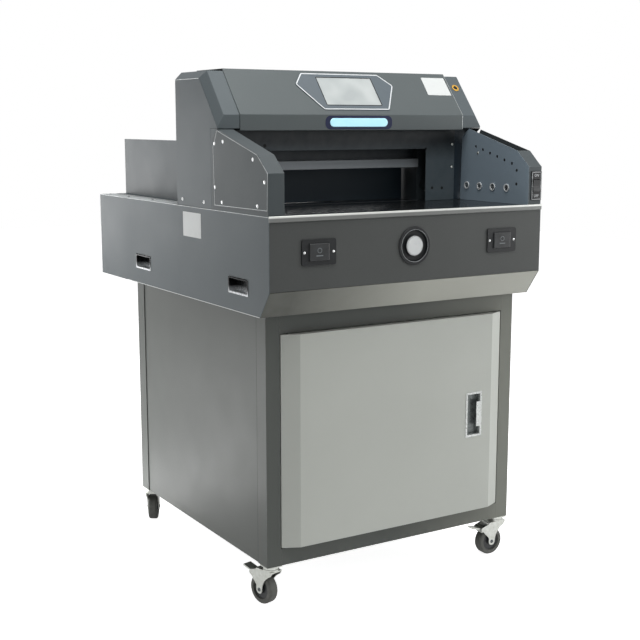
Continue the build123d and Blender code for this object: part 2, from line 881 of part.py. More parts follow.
hood_cover.part.label = "hood_cover"
export_step(hood_cover.part, "parts/hood_cover.step")

with BuildPart() as hood_rear_cover:
    with BuildSketch(Plane.XZ.offset(-hood_end)):
        with Locations((0, (table_top + back_cover_rise + head_top) / 2)):
            Rectangle(2 * hood_half, head_height - back_cover_rise)
    extrude(amount=-sheet)
    chamfer(hood_rear_cover.edges().filter_by(Axis.X).group_by(Axis.Z)[-1].sort_by(Axis.Y)[-1], length=sheet / 2)
hood_rear_cover.part.label = "hood_rear_cover"
export_step(hood_rear_cover.part, "parts/hood_rear_cover.step")

# End caps of the head: hollow covers with a chamfered outer rim
cap_inner = hood_half + seam
cap_y = bed_front + cap_front
cap_nose_y = bed_front + cap_nose
cap_nose_z = table_top + cap_nose_rise
cap_fold_z = table_top + cap_fold_rise
cap_top_y = bed_front + cap_top_setback
cap_top_z = head_top - cap_top_drop
cap_back = hood_end + sheet
with BuildPart() as end_caps:
    with BuildSketch(Plane.YZ.offset(cap_inner)):
        with BuildLine():
            Polyline(
                (cap_y, table_top + seam),
                (cap_y, cap_nose_z),
                (cap_nose_y, cap_nose_z),
                (cap_nose_y, cap_fold_z),
                (cap_top_y, cap_top_z),
                (cap_back, cap_top_z),
                (cap_back, table_top + seam),
                close=True,
            )
        make_face()
    extrude(amount=cap_outer - cap_inner)
    rim = end_caps.faces().sort_by(Axis.X)[-1].edges()
    slope_and_top = rim.sort_by(Axis.Z)[-2:]
    chamfer(slope_and_top, length=cap_chamfer)
    offset(amount=-cap_wall, openings=end_caps.faces().sort_by(Axis.X)[0], kind=Kind.INTERSECTION)
    mirror(about=Plane.YZ)
end_caps.part.label = "end_caps"
export_step(end_caps.part, "parts/end_caps.step")

# Screen panel and glass on the hood's slope, and the light bar on its front
slope_run = hood_top_y - hood_y
slope_rise = head_top - hood_fold
slope_plane = Plane(origin=(0, hood_y, hood_fold), x_dir=(1, 0, 0), z_dir=(0, -slope_rise, slope_run))
with BuildPart() as screen_panel:
    with BuildSketch(slope_plane) as screen_outline:
        with BuildLine():
            Polyline(
                (-screen_low_left, screen_low_rise),
                (-screen_wide_half, screen_wide_rise),
                (-screen_top_left, screen_top_rise),
                (screen_top_right, screen_top_rise),
                (screen_wide_half, screen_wide_rise),
                (screen_low_right, screen_low_rise),
                close=True,
            )
        make_face()
        fillet(screen_outline.vertices(), radius=screen_corner)
        with Locations((lcd_x, lcd_rise)):
            Rectangle(lcd_width, lcd_height, mode=Mode.SUBTRACT)
    extrude(amount=bezel_panel_proud)
screen_panel.part.label = "screen_panel"
export_step(screen_panel.part, "parts/screen_panel.step")

with BuildPart() as screen_glass:
    with BuildSketch(slope_plane):
        with Locations((lcd_x, lcd_rise)):
            Rectangle(lcd_width - seam, lcd_height - seam)
    extrude(amount=lcd_glass)
screen_glass.part.label = "screen_glass"
export_step(screen_glass.part, "parts/screen_glass.step")

with BuildPart() as light_bar:
    with BuildSketch(Plane.XZ.offset(-hood_y)):
        with Locations((led_x, table_top + led_rise)):
            SlotOverall(led_length, led_height)
    extrude(amount=led_proud)
    chamfer(light_bar.faces().sort_by(Axis.Y)[0].edges(), length=led_proud / 2)
light_bar.part.label = "light_bar"
export_step(light_bar.part, "parts/light_bar.step")


# Knife carrier, blade and slider blocks, which all travel together
with BuildPart() as knife_carrier:
    with BuildSketch(Plane.XZ.offset(-carrier_front)):
        with Locations((rest_shift, carrier_base + carrier_height / 2)):
            Rectangle(carrier_length, carrier_height)
            with GridLocations(bolt_pitch, bolt_pitch, bolt_count, 1):
                Circle(bolt_radius, mode=Mode.SUBTRACT)
    extrude(amount=-carrier_thickness)
    chamfer(knife_carrier.edges().filter_by(Axis.Y).group_by(Axis.Z)[-1], length=carrier_chamfer)
knife_carrier.part.label = "knife_carrier"
export_step(knife_carrier.part, "parts/knife_carrier.step")

blade_front = rod_front + blade_gap
blade_base = carrier_base - blade_overhang
with BuildPart() as knife_blade:
    with BuildSketch(Plane.YZ.offset(rest_shift - blade_length / 2)):
        with BuildLine():
            Polyline(
                (blade_front + blade_thickness, blade_base),
                (blade_front + blade_thickness, blade_base + blade_height),
                (blade_front, blade_base + blade_height),
                (blade_front, blade_base + blade_bevel),
                (blade_front + blade_thickness - blade_land, blade_base),
                close=True,
            )
        make_face()
    extrude(amount=blade_length)
knife_blade.part.label = "knife_blade"
export_step(knife_blade.part, "parts/knife_blade.step")

slider_reach = upright_front + groove_depth - seam - rod_front
with BuildPart() as knife_sliders:
    with BuildSketch(Plane.XZ.offset(-rod_front)):
        with Locations((rest_shift - slider_x, slider_rest_z), (rest_shift + slider_x, slider_rest_z)):
            Rectangle(slider_width - 2 * slider_running_gap, slider_length, rotation=-knife_lean)
    extrude(amount=-slider_reach)
knife_sliders.part.label = "knife_sliders"
export_step(knife_sliders.part, "parts/knife_sliders.step")

# Pull rod from the carrier down to the crank, whose pin it meets at its eye
rod_x = slider_x + rest_shift / 2
rod_pin_z = table_top - crank_drop
rod_top = carrier_base + rod_overlap
with BuildPart() as pull_rod:
    with BuildSketch(Plane.XZ.offset(-rod_front)):
        with Locations((rod_x, (rod_pin_z + rod_top) / 2)):
            Rectangle(rod_width, rod_top - rod_pin_z)
        with Locations((rod_x, rod_pin_z)):
            Circle(rod_eye_radius)
    extrude(amount=-rod_thickness)
pull_rod.part.label = "pull_rod"
export_step(pull_rod.part, "parts/pull_rod.step")

# Crank disc: its pin moves half a turn for one stroke of the knife
crank_x = rod_x - knife_shift / 2
crank_z = rod_pin_z - knife_drop / 2
pin_front = rod_front + rod_thickness + crank_gap
disc_front = pin_front + crank_pin_length
with BuildPart() as crank:
    with BuildSketch(Plane.XZ.offset(-disc_front)):
        with Locations((crank_x, crank_z)):
            Circle(crank_radius)
            with PolarLocations(crank_window_circle, crank_window_count):
                Circle(crank_window_radius, mode=Mode.SUBTRACT)
    extrude(amount=-crank_thickness)
    with BuildSketch(Plane.XZ.offset(-disc_front)):
        with Locations((rod_x, rod_pin_z)):
            Circle(crank_pin_radius)
    extrude(amount=crank_pin_length)
    with BuildSketch(Plane.XZ.offset(-(disc_front + crank_thickness))):
        with Locations((crank_x, crank_z)):
            Circle(crank_shaft_radius)
    extrude(amount=-crank_shaft_length)
crank.part.label = "crank"
export_step(crank.part, "parts/crank.step")

# Gearmotor of the knife, bolted to the right side plate
gearbox_front = disc_front + crank_thickness + gearmotor_gap
gearbox_right = side_plate_x
gearbox_left = crank_x - gearmotor_width / 2
with BuildPart() as knife_gearmotor:
    with BuildSketch(Plane.XZ.offset(-gearbox_front)):
        with Locations(((gearbox_left + gearbox_right) / 2, crank_z)):
            Rectangle(gearbox_right - gearbox_left, gearmotor_height)
    extrude(amount=-gearmotor_depth)
    chamfer(knife_gearmotor.edges().filter_by(Axis.Y).group_by(Axis.X)[0], length=gearmotor_round)
    with BuildSketch(Plane.XZ.offset(-(gearbox_front + gearmotor_depth))):
        with Locations((crank_x, crank_z)):
            Circle(motor_radius)
    extrude(amount=-motor_length)
    with BuildSketch(Plane.XZ.offset(-gearbox_front)):
        with Locations((crank_x, crank_z)):
            Circle(crank_shaft_radius + running_gap)
    extrude(amount=-crank_shaft_length, mode=Mode.SUBTRACT)
knife_gearmotor.part.label = "knife_gearmotor"
export_step(knife_gearmotor.part, "parts/knife_gearmotor.step")


# Clamp beam: a web with a toe along its lower edge, bored for the clamp screw
toe_front = blade_front + blade_thickness + clamp_gap
toe_back = toe_front + clamp_toe_depth
clamp_base = table_top + clamp_rest_rise
web_top = clamp_base + clamp_toe_height + clamp_web_height
clamp_screw_y = toe_back - clamp_screw_inset
with BuildPart() as clamp_beam:
    with BuildSketch(Plane.YZ.offset(-clamp_half)):
        with BuildLine():
            Polyline(
                (toe_front, clamp_base),
                (toe_back, clamp_base),
                (toe_back, web_top),
                (toe_back - clamp_web_depth, web_top),
                (toe_back - clamp_web_depth, clamp_base + clamp_toe_height),
                (toe_front, clamp_base + clamp_toe_height),
                close=True,
            )
        make_face()
    extrude(amount=2 * clamp_half)
    with BuildSketch(Plane.XY.offset(web_top)):
        with Locations((0, clamp_screw_y)):
            Circle(clamp_screw_radius + clamp_screw_gap)
    extrude(amount=clamp_base + clamp_bore_floor - web_top, mode=Mode.SUBTRACT)
clamp_beam.part.label = "clamp_beam"
export_step(clamp_beam.part, "parts/clamp_beam.step")

screw_bottom = clamp_base + clamp_bore_floor + clamp_screw_clear
screw_top = beam_top + clamp_socket
with BuildPart() as clamp_screw:
    with BuildSketch(Plane.XY.offset(screw_bottom)):
        with Locations((0, clamp_screw_y)):
            Circle(clamp_screw_radius)
    extrude(amount=screw_top - screw_bottom)
clamp_screw.part.label = "clamp_screw"
export_step(clamp_screw.part, "parts/clamp_screw.step")

# Clamp gearbox, which sits on the cross beam and turns the screw
clamp_box_front = clamp_screw_y - clamp_box_inset
with BuildPart() as clamp_gearbox:
    with BuildSketch(Plane.XY.offset(beam_top)):
        with Locations((0, clamp_box_front + clamp_box_depth / 2)):
            Rectangle(clamp_box_width, clamp_box_depth)
    extrude(amount=clamp_box_height)
    with BuildSketch(Plane.YZ.offset(clamp_box_width / 2)):
        with Locations((clamp_box_front + clamp_box_depth / 2, beam_top + clamp_box_height / 2)):
            Circle(clamp_motor_radius)
    extrude(amount=clamp_motor_length)
    with BuildSketch(Plane.XY.offset(beam_top)):
        with Locations((0, clamp_screw_y)):
            Circle(clamp_screw_radius + clamp_screw_gap)
    extrude(amount=clamp_socket + seam, mode=Mode.SUBTRACT)
clamp_gearbox.part.label = "clamp_gearbox"
export_step(clamp_gearbox.part, "parts/clamp_gearbox.step")


# Backgauge: the fence above the table, its carriage below, the rails and the screw
fence_front = bed_front + fence_setback
neck_front = fence_front + fence_thickness
with BuildPart() as gauge_fence:
    with BuildSketch(Plane.XZ.offset(-fence_front)):
        with Locations((0, table_top + soft_gap + fence_height / 2)):
            Rectangle(2 * fence_half, fence_height)
    extrude(amount=-fence_thickness)
gauge_fence.part.label = "gauge_fence"
export_step(gauge_fence.part, "parts/gauge_fence.step")

rail_z = plate_base - rail_drop
carriage_top = plate_base - carriage_drop
carriage_middle = neck_front + neck_depth / 2
with BuildPart() as gauge_carriage:
    with BuildSketch(Plane.XY.offset(carriage_top)):
        with Locations((0, carriage_middle)):
            Rectangle(carriage_width, carriage_depth)
    extrude(amount=-carriage_height)
    with BuildSketch(Plane.XY.offset(carriage_top)):
        with Locations((0, carriage_middle)):
            Rectangle(neck_width, neck_depth)
    extrude(amount=table_top + neck_rise - carriage_top)
    with BuildSketch(Plane.XZ.offset(-(carriage_middle - carriage_depth / 2))):
        with Locations((-rail_x, rail_z), (rail_x, rail_z)):
            Circle(rail_radius + running_gap)
        with Locations((0, rail_z)):
            Circle(screw_radius + running_gap)
    extrude(amount=-carriage_depth, mode=Mode.SUBTRACT)
gauge_carriage.part.label = "gauge_carriage"
export_step(gauge_carriage.part, "parts/gauge_carriage.step")

support_y = bed_front + support_front
rear_support_y = bed_front + support_rear
rail_start = support_y + support_thickness
screw_end = rear_support_y + support_thickness - seam
with BuildPart() as gauge_screw:
    with BuildSketch(Plane.XZ.offset(-(rail_start + seam))):
        with Locations((0, rail_z)):
            Circle(screw_radius)
    extrude(amount=rail_start + seam - screw_end)
gauge_screw.part.label = "gauge_screw"
export_step(gauge_screw.part, "parts/gauge_screw.step")

with BuildPart() as gauge_rails:
    with BuildSketch(Plane.XZ.offset(-rail_start)):
        with Locations((-rail_x, rail_z), (rail_x, rail_z)):
            Circle(rail_radius)
    extrude(amount=rail_start - rear_support_y)
gauge_rails.part.label = "gauge_rails"
export_step(gauge_rails.part, "parts/gauge_rails.step")

with BuildPart() as gauge_supports:
    with BuildSketch(Plane.XZ.offset(-support_y)):
        with Locations((0, plate_base - support_height / 2)):
            Rectangle(support_width, support_height)
    extrude(amount=-support_thickness)
    with BuildSketch(Plane.XZ.offset(-rear_support_y)):
        with Locations((0, plate_base - support_height / 2)):
            Rectangle(support_width, support_height)
        with Locations((0, rail_z)):
            Circle(screw_radius + running_gap, mode=Mode.SUBTRACT)
    extrude(amount=-support_thickness)
gauge_supports.part.label = "gauge_supports"
export_step(gauge_supports.part, "parts/gauge_supports.step")

with BuildPart() as gauge_motor:
    with BuildSketch(Plane.XZ.offset(-(rear_support_y + support_thickness))):
        with Locations((0, rail_z)):
            Rectangle(gauge_motor_size, gauge_motor_size)
    extrude(amount=-gauge_motor_length)
    chamfer(gauge_motor.edges().filter_by(Axis.Y), length=gauge_motor_round)
gauge_motor.part.label = "gauge_motor"
export_step(gauge_motor.part, "parts/gauge_motor.step")


# Jog wheel on the bed front: a stepped black rim on a shaft, with a pale cap let into it
knob_back = bed_front - knob_back_gap
knob_front = bed_front - knob_proud
knob_collar_y = knob_cup_back + seam
knob_plane = Plane(origin=(0, 0, control_z), x_dir=(1, 0, 0), z_dir=(0, 0, 1))
with BuildPart() as wheel_rim:
    with BuildSketch(knob_plane):
        with BuildLine():
            Polyline(
                (0, knob_front + knob_cap_depth),
                (knob_cap_radius, knob_front + knob_cap_depth),
                (knob_cap_radius, knob_front + knob_bevel),
                (knob_boss_radius, knob_front + knob_bevel),
                (knob_boss_radius, knob_front + knob_dish_depth),
                (knob_dish_radius, knob_front + knob_dish_depth),
                (knob_step_radius, knob_front),
                (knob_radius - knob_bevel, knob_front),
                (knob_radius, knob_front + knob_bevel),
                (knob_radius, knob_back),
                (knob_body_radius, knob_back),
                (knob_body_radius, knob_front + knob_body_depth),
                (knob_shaft_radius, knob_front + knob_body_depth),
                (knob_shaft_radius, knob_collar_y),
                (knob_collar_radius, knob_collar_y),
                (knob_collar_radius, knob_collar_y + knob_collar),
                (0, knob_collar_y + knob_collar),
                close=True,
            )
        make_face()
    revolve(axis=Axis((0, 0, control_z), (0, 1, 0)))
wheel_rim.part.label = "wheel_rim"
export_step(wheel_rim.part, "parts/wheel_rim.step")

with BuildPart() as wheel_cap:
    with BuildSketch(Plane.XZ.offset(-(knob_front + knob_cap_depth))):
        with Locations((0, control_z)):
            Circle(knob_cap_radius - seam)
    extrude(amount=knob_cap_depth)
    fillet(wheel_cap.faces().sort_by(Axis.Y)[0].edges(), radius=knob_bevel)
wheel_cap.part.label = "wheel_cap"
export_step(wheel_cap.part, "parts/wheel_cap.step")

# Housings of the two cut buttons, with a shaft for the button and two screw holes
with BuildPart() as button_housings:
    with BuildSketch(Plane.XZ.offset(-bed_front)):
        with Locations((-button_x, control_z), (button_x, control_z)):
            RectangleRounded(bezel_width, bezel_height, bezel_corner)
            with GridLocations(2 * bezel_screw_x, bezel_height, 2, 1):
                Circle(bezel_screw_radius, mode=Mode.SUBTRACT)
    extrude(amount=bezel_flange)
    with BuildSketch(Plane.XZ.offset(-bed_front)):
        with Locations((-button_x, control_z), (button_x, control_z)):
            Rectangle(bezel_body_width, bezel_body_height)
    extrude(amount=-bezel_depth)
    with BuildSketch(Plane.XZ.offset(bezel_flange - bed_front)):
        with Locations((-button_x, control_z), (button_x, control_z)):
            RectangleRounded(button_width, button_height, button_corner)
    extrude(amount=bezel_floor - bezel_flange - bezel_depth, mode=Mode.SUBTRACT)
button_housings.part.label = "button_housings"
export_step(button_housings.part, "parts/button_housings.step")


def cut_button(centre_x):
    """Make one square cut button that slides in its housing."""
    with BuildPart() as button:
        with BuildSketch(Plane.XZ.offset(bezel_flange + button_proud - bed_front)):
            with Locations((centre_x, control_z)):
                RectangleRounded(button_width - 2 * button_gap, button_height - 2 * button_gap, button_corner)
        extrude(amount=-(bezel_flange + button_proud + button_depth))
        chamfer(button.faces().sort_by(Axis.Y)[0].edges(), length=button_round)
    return button.part


for side_name, side_sign in (("left", -1), ("right", 1)):
    cut_button_part = cut_button(side_sign * button_x)
    cut_button_part.label = "cut_button_" + side_name
    export_step(cut_button_part, "parts/cut_button_" + side_name + ".step")


# Side guards on the table: a closed cover on the left, a plate and a switch box on the right,
# both with sensor holes in the wall beside the paper
guard_inner = half_width - guard_thickness
switch_z = table_top + switch_rise
guard_outline = [
    (bed_front + guard_front, table_top + seam),
    (bed_front + guard_front, table_top + guard_front_rise),
    (bed_front + guard_knee_run, table_top + guard_knee_rise),
    (bed_front + guard_peak_run, table_top + guard_peak_rise),
    (bed_front + guard_heel_run, table_top + guard_heel_rise),
    (bed_front + guard_back, table_top + seam),
]
sensor_places = [
    (
        bed_front + sensor_first_run - step * sensor_pitch_run,
        table_top + sensor_first_rise - step * sensor_pitch_rise,
    )
    for step in range(sensor_count)
]
switch_box_outline = [
    (bed_front + guard_front, table_top + seam),
    (bed_front + guard_front, table_top + guard_front_rise),
    (bed_front + guard_knee_run, table_top + guard_knee_rise),
    (bed_front + guard_knee_run, table_top + seam),
]
with BuildPart() as side_guards:
    with BuildSketch(Plane.YZ.offset(-half_width)):
        with BuildLine():
            Polyline(*guard_outline, close=True)
        make_face()
    extrude(amount=guard_thickness)
    offset(amount=-sheet, openings=side_guards.faces().sort_by(Axis.Z)[0], kind=Kind.INTERSECTION)
    with BuildSketch(Plane.YZ.offset(-guard_inner)):
        with Locations(*sensor_places):
            Circle(sensor_radius)
    extrude(amount=-sheet, mode=Mode.SUBTRACT)
    with BuildSketch(Plane.YZ.offset(guard_inner)):
        with BuildLine():
            Polyline(*switch_box_outline, close=True)
        make_face()
    extrude(amount=guard_thickness)
    with BuildSketch(Plane.YZ.offset(guard_inner + sheet)):
        with BuildLine():
            Polyline(*switch_box_outline, close=True)
        make_face()
        offset(amount=-sheet, kind=Kind.INTERSECTION)
        with Locations((bed_front + (guard_front + guard_knee_run) / 2, table_top + sheet)):
            Rectangle(guard_knee_run - guard_front - 2 * sheet, 2 * sheet)
    extrude(amount=guard_thickness - 2 * sheet, mode=Mode.SUBTRACT)
    with BuildSketch(Plane.YZ.offset(guard_inner)):
        with BuildLine():
            Polyline(*guard_outline, close=True)
        make_face()
        with Locations(*sensor_places):
            Circle(sensor_radius, mode=Mode.SUBTRACT)
    extrude(amount=sheet)
    with BuildSketch(Plane.XY.offset(table_top + seam)):
        with Locations((guard_inner + guard_flange / 2, bed_front + (guard_knee_run + guard_back) / 2)):
            Rectangle(guard_flange, guard_back - guard_knee_run)
    extrude(amount=sheet)
    with BuildSketch(Plane.XZ.offset(-(bed_front + guard_front))):
        with Locations((switch_x, switch_z)):
            Rectangle(rocker_width + 2 * rocker_gap, rocker_height + 2 * rocker_gap)
    extrude(amount=-sheet, mode=Mode.SUBTRACT)
side_guards.part.label = "side_guards"
export_step(side_guards.part, "parts/side_guards.step")

# Power switch on the right guard: a plate round a rocker
with BuildPart() as switch_frame:
    with BuildSketch(Plane.XZ.offset(-(bed_front + guard_front))):
        with Locations((switch_x, switch_z)):
            RectangleRounded(switch_width, switch_height, switch_corner)
            Rectangle(rocker_width + 2 * rocker_gap, rocker_height + 2 * rocker_gap, mode=Mode.SUBTRACT)
    extrude(amount=switch_plate)
switch_frame.part.label = "switch_frame"
export_step(switch_frame.part, "parts/switch_frame.step")

rocker_axis_y = bed_front + guard_front
rocker_rise = rocker_height / 2 * math.tan(math.radians(rocker_rake))
with BuildPart() as power_rocker:
    with BuildSketch(Plane.YZ.offset(switch_x - rocker_width / 2)):
        with BuildLine():
            Polyline(
                (rocker_axis_y - rocker_proud - rocker_rise, switch_z + rocker_height / 2 - rocker_gap),
                (rocker_axis_y - rocker_proud, switch_z),
                (rocker_axis_y - rocker_proud - rocker_rise, switch_z - rocker_height / 2 + rocker_gap),
                (rocker_axis_y + rocker_depth - rocker_rise, switch_z - rocker_height / 4),
                (rocker_axis_y + rocker_depth - rocker_rise, switch_z + rocker_height / 4),
                close=True,
            )
        make_face()
    extrude(amount=rocker_width)
power_rocker.part.label = "power_rocker"
export_step(power_rocker.part, "parts/power_rocker.step")


# Casters: a plate with its king pin, a fork that swivels on it and a wheel on the fork's axle
caster_x = half_cabinet - caster_inset_x
caster_front = cabinet_front + caster_inset_y
caster_rear = cabinet_back - caster_inset_y
casters = {
    "front_left": (-caster_x, caster_front, front_left_heading),
    "front_right": (caster_x, caster_front, front_right_heading),
    "rear_left": (-caster_x, caster_rear, rear_left_heading),
    "rear_right": (caster_x, caster_rear, rear_right_heading),
}
plate_z = caster_height - caster_plate
raceway_base = plate_z - raceway_height
head_base = raceway_base - fork_gap - fork_head
bridge_base = head_base - fork_bridge
arm_inner = fork_width / 2 - fork_arm

with BuildPart() as caster_plates:
    with BuildSketch(Plane.XY.offset(plate_z)):
        with Locations(*[(x, y) for x, y, heading in casters.values()]):
            RectangleRounded(caster_plate_size, caster_plate_size, cup_corner)
    extrude(amount=caster_plate)
    with BuildSketch(Plane.XY.offset(plate_z)):
        with Locations(*[(x, y) for x, y, heading in casters.values()]):
            Circle(raceway_radius)
    extrude(amount=-raceway_height)
    with BuildSketch(Plane.XY.offset(raceway_base)):
        with Locations(*[(x, y) for x, y, heading in casters.values()]):
            Circle(king_pin_radius)
    extrude(amount=-(fork_gap + fork_head + fork_bridge))
caster_plates.part.label = "caster_plates"
export_step(caster_plates.part, "parts/caster_plates.step")


def heading_plane(x, y, heading):
    """Give the upright plane through a caster's swivel axis, with its own x along the trail."""
    trail = Vector(math.cos(math.radians(heading)), math.sin(math.radians(heading)), 0)
    return Plane(origin=(x, y, 0), x_dir=trail, z_dir=trail.cross(Vector(0, 0, 1)))


brake_angle = math.radians(90 - fork_shoulder)
brake_x = swivel_offset + brake_reach * math.cos(brake_angle)
brake_z = wheel_radius + brake_reach * math.sin(brake_angle)


def caster_fork(x, y, heading, braked):
    """Make a fork: the swivel head, the bridge, two arms and the axle between them."""
    side = heading_plane(x, y, heading)
    with BuildPart() as fork:
        with BuildSketch(Plane.XY.offset(head_base)):
            with Locations((x, y)):
                Circle(fork_head_radius)
        extrude(amount=fork_head)
        with BuildSketch(side.offset(-fork_width / 2)):
            with BuildLine():
                Polyline(
                    (-fork_head_radius, head_base),
                    (-fork_head_radius, bridge_base),
                    (swivel_offset + axle_end_radius, bridge_base),
                    (swivel_offset + axle_end_radius, head_base),
                    close=True,
                )
            make_face()
        extrude(amount=fork_width)
        for arm_start in (-fork_width / 2, arm_inner):
            with BuildSketch(side.offset(arm_start)):
                with BuildLine():
                    Polyline(
                        (-fork_head_radius, head_base),
                        (-fork_head_radius, bridge_base),
                        (swivel_offset - axle_end_radius, wheel_radius),
                        (swivel_offset + axle_end_radius, wheel_radius),
                        (swivel_offset + axle_end_radius, head_base),
                        close=True,
                    )
                make_face()
                with Locations((swivel_offset, wheel_radius)):
                    Circle(axle_end_radius)
                if braked:
                    with BuildLine():
                        Polyline(
                            (swivel_offset, head_base),
                            (brake_x, brake_z + brake_ear),
                            (brake_x, brake_z - brake_ear),
                            (swivel_offset, wheel_radius),
                            close=True,
                        )
                    make_face()
                    with Locations((brake_x, brake_z)):
                        Circle(brake_ear)
                        Circle(brake_pin_radius + running_gap, mode=Mode.SUBTRACT)
            extrude(amount=fork_arm)
        with BuildSketch(side.offset(-fork_width / 2)):
            with Locations((swivel_offset, wheel_radius)):
                Circle(axle_radius)
        extrude(amount=fork_width)
        with BuildSketch(Plane.XY.offset(bridge_base)):
            with Locations((x, y)):
                Circle(king_pin_radius + running_gap)
        extrude(amount=fork_head + fork_bridge, mode=Mode.SUBTRACT)
    return fork.part


def caster_wheel(x, y, heading):
    """Make a wheel with a rounded tread, a recessed web and a hub bored for the axle."""
    side = heading_plane(x, y, heading)
    with BuildPart() as wheel:
        with BuildSketch(side.offset(-wheel_width / 2)):
            with Locations((swivel_offset, wheel_radius)):
                Circle(wheel_radius)
        extrude(amount=wheel_width)
        fillet(wheel.edges(), radius=tread_round)
        for face_start, face_depth in ((-wheel_width / 2, hub_recess), (wheel_width / 2, -hub_recess)):
            with BuildSketch(side.offset(face_start)):
                with Locations((swivel_offset, wheel_radius)):
                    Circle(wheel_radius - 2 * tread_round)
                    Circle(hub_radius / 2, mode=Mode.SUBTRACT)
            extrude(amount=face_depth, mode=Mode.SUBTRACT)
        with BuildSketch(side.offset(-hub_width / 2)):
            with Locations((swivel_offset, wheel_radius)):
                Circle(hub_radius / 2)
        extrude(amount=hub_width)
        with BuildSketch(side.offset(-hub_width / 2)):
            with Locations((swivel_offset, wheel_radius)):
                Circle(axle_radius + running_gap)
        extrude(amount=hub_width, mode=Mode.SUBTRACT)
    return wheel.part


def brake_pedal(x, y, heading):
    """Make a brake pedal: a pin in the fork's ears, a foot plate and a cam over the tread."""
    side = heading_plane(x, y, heading)
    plate_angle = math.radians(brake_tilt)
    along = (math.cos(plate_angle), math.sin(plate_angle))
    middle = brake_length / 2
    cam_angle = math.degrees(brake_angle) + brake_cam_lead
    with BuildPart() as pedal:
        with BuildSketch(side.offset(-brake_width / 2)):
            with Locations((brake_x + middle * along[0], brake_z + middle * along[1])):
                Rectangle(brake_length, brake_plate, rotation=brake_tilt)
            with Locations((brake_x, brake_z)):
                Circle(brake_ear)
                Rectangle(
                    brake_cam,
                    brake_cam_width,
                    align=(Align.MAX, Align.CENTER),
                    rotation=cam_angle,
                )
        extrude(amount=brake_width)
        with BuildSketch(side.offset(-fork_width / 2)):
            with Locations((brake_x, brake_z)):
                Circle(brake_pin_radius)
        extrude(amount=fork_width)
    return pedal.part


for caster_name, (x, y, heading) in casters.items():
    braked = caster_name.startswith("front")
    fork_part = caster_fork(x, y, heading, braked)
    fork_part.label = "fork_" + caster_name
    export_step(fork_part, "parts/fork_" + caster_name + ".step")
    wheel_part = caster_wheel(x, y, heading)
    wheel_part.label = "wheel_" + caster_name
    export_step(wheel_part, "parts/wheel_" + caster_name + ".step")
    if braked:
        pedal_part = brake_pedal(x, y, heading)
        pedal_part.label = "brake_" + caster_name
        export_step(pedal_part, "parts/brake_" + caster_name + ".step")
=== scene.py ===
# %% [markdown]
# # Dressing an electric paper cutter
# The solid model of the machine is already in place when this lesson starts. It carries the sizes,
# the joints and the mechanism. This lesson adds what the eye reads as real: softened sheet edges,
# enamel and plated finishes, screws, trim and a lit screen. Everything is in metres, z up.

# %% Load the solid model
import json
import math

import bmesh
import bpy
from mathutils import Matrix, Vector

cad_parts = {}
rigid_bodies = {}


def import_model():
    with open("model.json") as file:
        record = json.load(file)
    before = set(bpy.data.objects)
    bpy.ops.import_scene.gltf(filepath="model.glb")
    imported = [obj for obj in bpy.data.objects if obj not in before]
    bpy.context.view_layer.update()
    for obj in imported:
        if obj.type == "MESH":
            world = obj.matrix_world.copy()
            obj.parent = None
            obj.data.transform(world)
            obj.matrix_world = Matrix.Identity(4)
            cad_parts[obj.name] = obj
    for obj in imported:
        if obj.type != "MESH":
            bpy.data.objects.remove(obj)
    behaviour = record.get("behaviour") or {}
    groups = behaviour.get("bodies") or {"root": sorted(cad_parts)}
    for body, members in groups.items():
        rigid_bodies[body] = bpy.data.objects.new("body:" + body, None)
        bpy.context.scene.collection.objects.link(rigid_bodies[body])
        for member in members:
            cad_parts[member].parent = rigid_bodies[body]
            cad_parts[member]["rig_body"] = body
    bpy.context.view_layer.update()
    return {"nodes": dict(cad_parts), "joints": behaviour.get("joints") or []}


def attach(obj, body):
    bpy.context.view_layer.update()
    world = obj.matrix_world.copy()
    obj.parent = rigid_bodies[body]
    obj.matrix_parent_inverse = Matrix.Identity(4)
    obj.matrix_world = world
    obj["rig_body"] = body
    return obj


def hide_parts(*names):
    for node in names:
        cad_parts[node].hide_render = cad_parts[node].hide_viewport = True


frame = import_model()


# %% [markdown]
# ## Small helpers
# Sizes on a drawing are in millimetres and Blender wants metres, so one function turns them over.
# Colours are written as sRGB hex, as a paint chart gives them, and a shader wants linear light. A
# node is added with its settings and links in one call, which keeps each material readable.

# %% Units, colours and nodes
def mm(length):
    """Millimetres to metres."""
    return length / 1000


def linear(hex_colour):
    """An sRGB hex colour as linear RGBA."""
    shares = [int(hex_colour[i : i + 2], 16) / 255 for i in (0, 2, 4)]
    light = [c / 12.92 if c <= 0.04045 else ((c + 0.055) / 1.055) ** 2.4 for c in shares]
    return (*light, 1.0)


def feed(tree, node, links):
    """Link other nodes' sockets into the named inputs of a node."""
    for socket, source in links.items():
        tree.links.new(source, node.inputs[socket])


def add(tree, kind, values=None, links=None, **settings):
    """Add a node: settings are properties, values its unlinked inputs, links its linked ones."""
    node = tree.nodes.new(kind)
    for name, setting in settings.items():
        setattr(node, name, setting)
    for socket, value in (values or {}).items():
        node.inputs[socket].default_value = value
    feed(tree, node, links or {})
    return node


def new_material(name, values):
    """Start a material and give back its tree, its shader and its Object coordinates."""
    material = bpy.data.materials.new(name)
    material.use_nodes = True
    tree = material.node_tree
    shader = tree.nodes["Principled BSDF"]
    for socket, value in values.items():
        shader.inputs[socket].default_value = value
    place = add(tree, "ShaderNodeTexCoord").outputs["Object"]
    return material, tree, shader, place


# Depths on the drawing are counted from the front of the bed, which stands here in the frame
bed_front = -513.5


def at(x, depth, z):
    """A drawing position in millimetres as a point in metres."""
    return Vector((mm(x), mm(depth + bed_front), mm(z)))


print("helpers ready; 1 mm is", mm(1), "m")


# %% [markdown]
# ## Patterns that all the finishes share
# No real surface is even. One noise, mapped onto small ranges, moves the colour and the shine
# together; a finer noise, read as a height, gives the skin. Colours are laid over each other
# through masks, as coats are. Patterns are measured in millimetres and keep their real scale.

